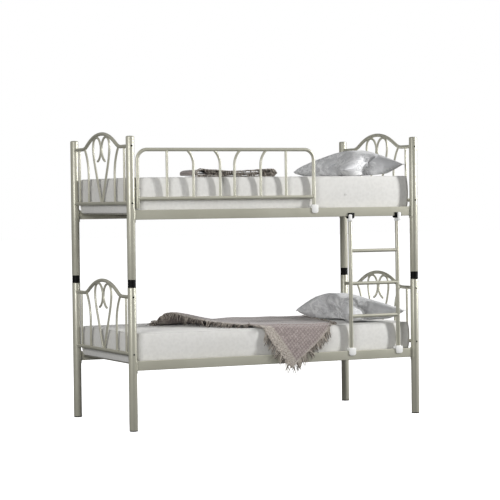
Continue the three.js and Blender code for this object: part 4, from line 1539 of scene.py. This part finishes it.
def along(curve, share):
    """The point at a share of a polyline's length."""
    lengths = [(b - a).length for a, b in zip(curve, curve[1:])]
    left = share * sum(lengths)
    for a, b, length in zip(curve, curve[1:], lengths):
        if left <= length:
            return a.lerp(b, left / length if length else 0)
        left -= length
    return curve[-1].copy()


def at_length(curve, distance):
    """The point at a distance along a polyline."""
    for a, b in zip(curve, curve[1:]):
        step = (b - a).length
        if distance <= step:
            return a.lerp(b, distance / step)
        distance -= step
    return curve[-1].copy()


# The lower bed's throw is a square folded corner to corner, the fold at the back and both layers'
# corners hanging down the front. Its sides are (x, d, lift) curves: d is the distance up the
# front and then back over the mattress, and lift is how far the cloth stands off it.
THROW_CLOTH = 4.5 * MM
UNDER_TIP, OVER_TIP = (0.074, 0.022, 0), (0.118, 0.042, 0)
THROW_LEFT = [
    (-0.100, 0.285, 0.004), (-0.185, 0.325, 0.010), (-0.250, 0.390, 0.013), (-0.322, 0.520, 0.022),
    (-0.372, 0.638, 0.036), (-0.428, 0.716, 0.055), (-0.492, 0.772, 0.074), (-0.532, 0.824, 0.052),
    (-0.562, 0.862, 0.003), (-0.510, 1.000, 0.004), (-0.425, 1.150, 0.003),
]
THROW_RIGHT = [
    (0.392, 0.285, 0), (0.436, 0.430, 0), (0.466, 0.540, 0), (0.550, 0.900, 0), (0.620, 1.150, 0),
]
LIFT_REACH = 0.21  # how far in from the left side the lift fades
HANG_LENGTH = 0.285  # from the lowest tip up to the mattress's edge
UNDER_SHOWS = 0.040  # the lower layer's left side shows this far past the upper one's
THROW_GRID = (96, 64)  # steps up the cloth and across it
BAND_WIDTH = 0.05  # the plain border at the fringed hem
HEM_WIDTH = 0.008
RUFFLE_PITCH = 0.028
FRONT_TOP = 0.52  # below this height the cloth hangs in front of the mattress
PILLOW_CLEAR = 0.02  # the rumples end this far from the pillow
RUMPLE_FADE = 0.12
RUMPLE, FAN_RUMPLE = 4.0 * MM, 2.6 * MM
FAN_FOLDS = 3.2  # across the cloth's width


def drape_profile(low, mattress_high, layer):
    """(y, z) points from the hanging tip, over the rail and the mattress's edge, to the back."""
    front, rest = low.y + 3.5 * MM + layer, mattress_high.z + 0.6 * MM + layer
    points = [(front, low.z + 1 * MM), (front, 0.35), (front, 0.405), (front + 3 * MM, 0.435),
              (front + 15 * MM, 0.51), (-0.4645 + layer, 0.560), (-0.4565 + layer, 0.5775),
              (-0.440, rest - 3.0 * MM), (-0.415, rest - 0.6 * MM), (-0.38, rest)]
    curve = smooth_curve([Vector((y, z)) for y, z in points], 4)
    return curve + [Vector((-0.2, rest)), Vector((0.445, rest))]


def throw_ripple(x, y, z, s, t, clear_x):
    """Soft rumples and fanned folds, lower where the cloth hangs and gone under the pillow."""
    slow = noise.noise(Vector((x * 5.0, y * 5.0, 1.7)))
    fan = math.sin(2 * math.pi * FAN_FOLDS * s + 4 * t) * min(t * t * 1.2, 1)
    clear = max(0.0, min(1.0, (clear_x - x) / RUMPLE_FADE))
    height = RUMPLE * (slow + 0.6) + FAN_RUMPLE * (fan + 1)
    return height * clear * (0.35 if z < 0.56 else 1)


def throw_layer(low, mattress_high, layer, tip, shows, clear_x):
    """One layer's rows of points and marks, from its hanging tip to the fold."""
    rows, columns = THROW_GRID
    profile = drape_profile(low, mattress_high, layer)
    left, right = (smooth_curve([tip] + side, 6) for side in (THROW_LEFT, THROW_RIGHT))
    left_length, right_length = path_length(left), path_length(right)
    grid, marks = [], []
    for i in range(rows + 1):
        t = (i / rows) ** 1.15
        a, b = along(left, t), along(right, t)
        width = (b - a).length
        line, shades = [], []
        for j in range(columns + 1):
            s = (j / columns) ** 1.2
            flat = a.lerp(b, s)
            lift = a.z * math.exp(-((s * width / LIFT_REACH) ** 2))
            u, v = t * left_length * (1 - s), t * right_length * s
            ruffle = math.exp(-((v / BAND_WIDTH) ** 2)) if shows else 0
            flat.x -= shows * (1 - s) ** 8 * min(1, t * 8) * (1 - 0.6 * min(1, flat.y / HANG_LENGTH))
            place = at_length(profile, max(flat.y, 0))
            ripple = throw_ripple(flat.x, place.x, place.y, s, t, clear_x)
            phase = 2 * math.pi * u / RUFFLE_PITCH + 4 * noise.noise(Vector((u * 20, v * 9, 0)))
            ripple += ruffle * 3.5 * MM * (1 + math.sin(phase))
            hanging = place.y < FRONT_TOP
            y = place.x - (ripple if hanging else 0)
            z = place.y + (0 if hanging else ripple) + lift
            line.append(Vector((flat.x, y, z)))
            band = 1.0 if (shows and v < BAND_WIDTH) or min(u, v) < HEM_WIDTH else 0.0
            shades.append((u, v, band))
        grid.append(line)
        marks.append(shades)
    return grid, marks


def lower_throw():
    """The under layer, the fold at the back and the upper layer, as one sheet with fringed hems."""
    low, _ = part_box("lower_throw")
    _, mattress_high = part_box("lower_mattress")
    clear_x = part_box("lower_pillow")[0].x - PILLOW_CLEAR
    gap = 2 * THROW_CLOTH + 1.0 * MM
    under, under_marks = throw_layer(low, mattress_high, 0, UNDER_TIP, UNDER_SHOWS, clear_x)
    over, over_marks = throw_layer(low, mattress_high, gap, OVER_TIP, 0, clear_x)
    fold, fold_marks = [], []
    for turn in (45, 90, 135):
        share = (1 - math.cos(math.radians(turn))) / 2
        bulge = Vector((0, math.sin(math.radians(turn)) * gap / 2, 0))
        fold.append([a.lerp(b, share) + bulge for a, b in zip(under[-1], over[-1])])
        fold_marks.append(under_marks[-1])
    form = Form()
    marks = under_marks + fold_marks + over_marks[::-1]
    thick_sheet(form, under + fold + over[::-1], marks, THROW_CLOTH)
    throw = stand_in(form, "lower_throw", "cloth", "wool", 60)
    fringe = Form()
    for grid, sides in ((under, (0, -1)), (over, (-1,))):
        for side in sides:
            hem_fringe(fringe, [row[side] for row in grid], -1 if side == 0 else 1, mattress_high.z)
    trim = place_piece(fringe, "lower_throw_fringe", "yarn", "lower_bedding", (), 180)


def hem_roots(hem, pitch):
    """Shares of a hem's length where strands grow, unevenly a pitch apart."""
    length = path_length(hem)
    for k in range(int(length / pitch)):
        yield (k + RANDOM.uniform(0.2, 0.8)) * pitch / length


def hem_fringe(form, hem, outward, rest):
    """Strands along a hem, hanging where the cloth hangs and spilling onto the bed where it lies."""
    for share in hem_roots(hem, 4.6 * MM):
        root = along(hem, share)
        ahead = along(hem, min(share + 0.01, 1)) - along(hem, max(share - 0.01, 0))
        lean = clump(root, outward)
        if root.z < HANG_BELOW:
            away = Vector((outward * 0.5, -0.05, -0.85)) + lean * 1.3
            away.y = min(away.y, 0.0)
            size, sag, floor, shade = RANDOM.uniform(30, 46), 0.4, None, yarn_shade("beige")
        else:
            flat = Vector((ahead.x, ahead.y, 0)).normalized()
            side = Vector((flat.y, -flat.x, 0)) * outward
            standing = min((root.z - rest) / 0.04, 1)
            away = side * (0.8 - 0.5 * standing) + Vector((0, 0, 0.2 - standing)) + lean * 1.6
            # strands that lie on the bed take the darker yarn shades: painted shade
            size, sag, floor, shade = RANDOM.uniform(16, 38), 0.5, rest, yarn_shade("shaded_beige")
        strand(form, root + Vector((0, 0, 2 * MM)), away, size * MM, sag, RANDOM.uniform(1.5, 2.4) * MM,
               shade, floor)


# The upper bed's throw is a long one laid in four folds, ends to the left and right and its fringe to
# the front. FOLDED_PATH is a section through it, in shares of its length and of its height.
FOLDED_SIZE = (0.55, 0.27)  # its length and depth as it lies
FOLDED_CLOTH = 5 * MM
FOLDED_BARE = 38 * MM  # the loop at its right end, which shows no fringe
FOLDED_TURN = math.radians(-3)
FOLDED_PATH = [
    (0.06, 0.02), (0.50, 0.02), (0.93, 0.02), (0.975, 0.16), (1.00, 0.50), (0.975, 0.84), (0.92, 1.00),
    (0.84, 0.94), (0.68, 0.84), (0.50, 0.74), (0.34, 0.76), (0.22, 0.90), (0.12, 0.98), (0.045, 0.94),
    (0.008, 0.76), (0.00, 0.48), (0.01, 0.26), (0.10, 0.24), (0.40, 0.24), (0.70, 0.26), (0.91, 0.30),
    (0.935, 0.44), (0.90, 0.58), (0.50, 0.48), (0.16, 0.62),
]


def upper_throw():
    """The folded throw: its path's section carried from front to back, with a little rumpling."""
    low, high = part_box("upper_throw")
    centre = (low + high) / 2
    length, depth = FOLDED_SIZE
    height = high.z - low.z - FOLDED_CLOTH - 3 * MM
    path = smooth_curve([Vector((x * length - length / 2, z * height)) for x, z in FOLDED_PATH], 7)
    distances = [0.0]
    for a, b in zip(path, path[1:]):
        distances.append(distances[-1] + (b - a).length)
    turn = Matrix.Rotation(FOLDED_TURN, 3, "Z")
    rows = 30
    grid, marks = [], []
    for i in range(rows + 1):
        share = i / rows
        line, shades = [], []
        for p, distance in zip(path, distances):
            up = p.y / height
            rumple = 3.0 * MM * noise.noise(Vector((p.x * 9, share * 2, up * 3))) * up
            shift = 9 * MM * noise.noise(Vector((p.x * 5, up * 7, 2.0))) * (1 - share)
            place = turn @ Vector((p.x, (share - 0.5) * depth + shift, 0))
            line.append(centre + Vector((place.x, place.y, low.z - centre.z + 1 * MM + p.y + rumple)))
            shades.append((distance, share * depth, 1.0 if share < 0.05 else 0.0))
        grid.append(line)
        marks.append(shades)
    form = Form()
    thick_sheet(form, grid, marks, FOLDED_CLOTH)
    throw = stand_in(form, "upper_throw", "cloth", "wool", 60)
    fringe = Form()
    folded_fringe(fringe, grid[0], low.z, high.x - FOLDED_BARE)
    trim = place_piece(fringe, "upper_throw_fringe", "yarn", "upper_bedding", (), 180)


def folded_fringe(form, hem, rest, bare):
    """Strands from the front edge of every fold, as far as the bare loop at the right."""
    for share in hem_roots(hem, 4.2 * MM):
        root = along(hem, share)
        if root.x > bare:
            continue
        away = Vector((0, -1, -0.25)) + clump(root, 3) * 1.4
        # these strands lie on the bed and take the darker yarn shades: painted shade
        strand(form, root + Vector((0, 0, 2 * MM)), away, RANDOM.uniform(14, 28) * MM, 0.5,
               RANDOM.uniform(1.4, 2.1) * MM, yarn_shade("shaded_beige"), rest)


# ---- the whole bed ------------------------------------------------------------------------


def build():
    add_posts()
    for bed in BEDS:
        for side in ("front", "back"):
            side_rail(bed, side)
        for end in ("foot", "head"):
            end_panel(bed, end)
        for half in ("foot_half", "head_half"):
            wire_base(bed, half)
        for corner, side in CORNERS:
            panel_bolts(bed, corner, side)
        mattress(bed)
    vent("lower", -0.486)
    vent("upper", 0.493)
    guard_rail()
    ladder()
    pillow("lower", math.radians(3), 0.06, Vector((-0.07, 0.034)), 1.0)
    pillow("upper", math.radians(2), 0.16, Vector((0.035, -0.017)), 5.0)
    lower_throw()
    upper_throw()


add_camera()
for softbox in SOFTBOXES:
    add_softbox(*softbox)
add_world()
add_floor()
build()
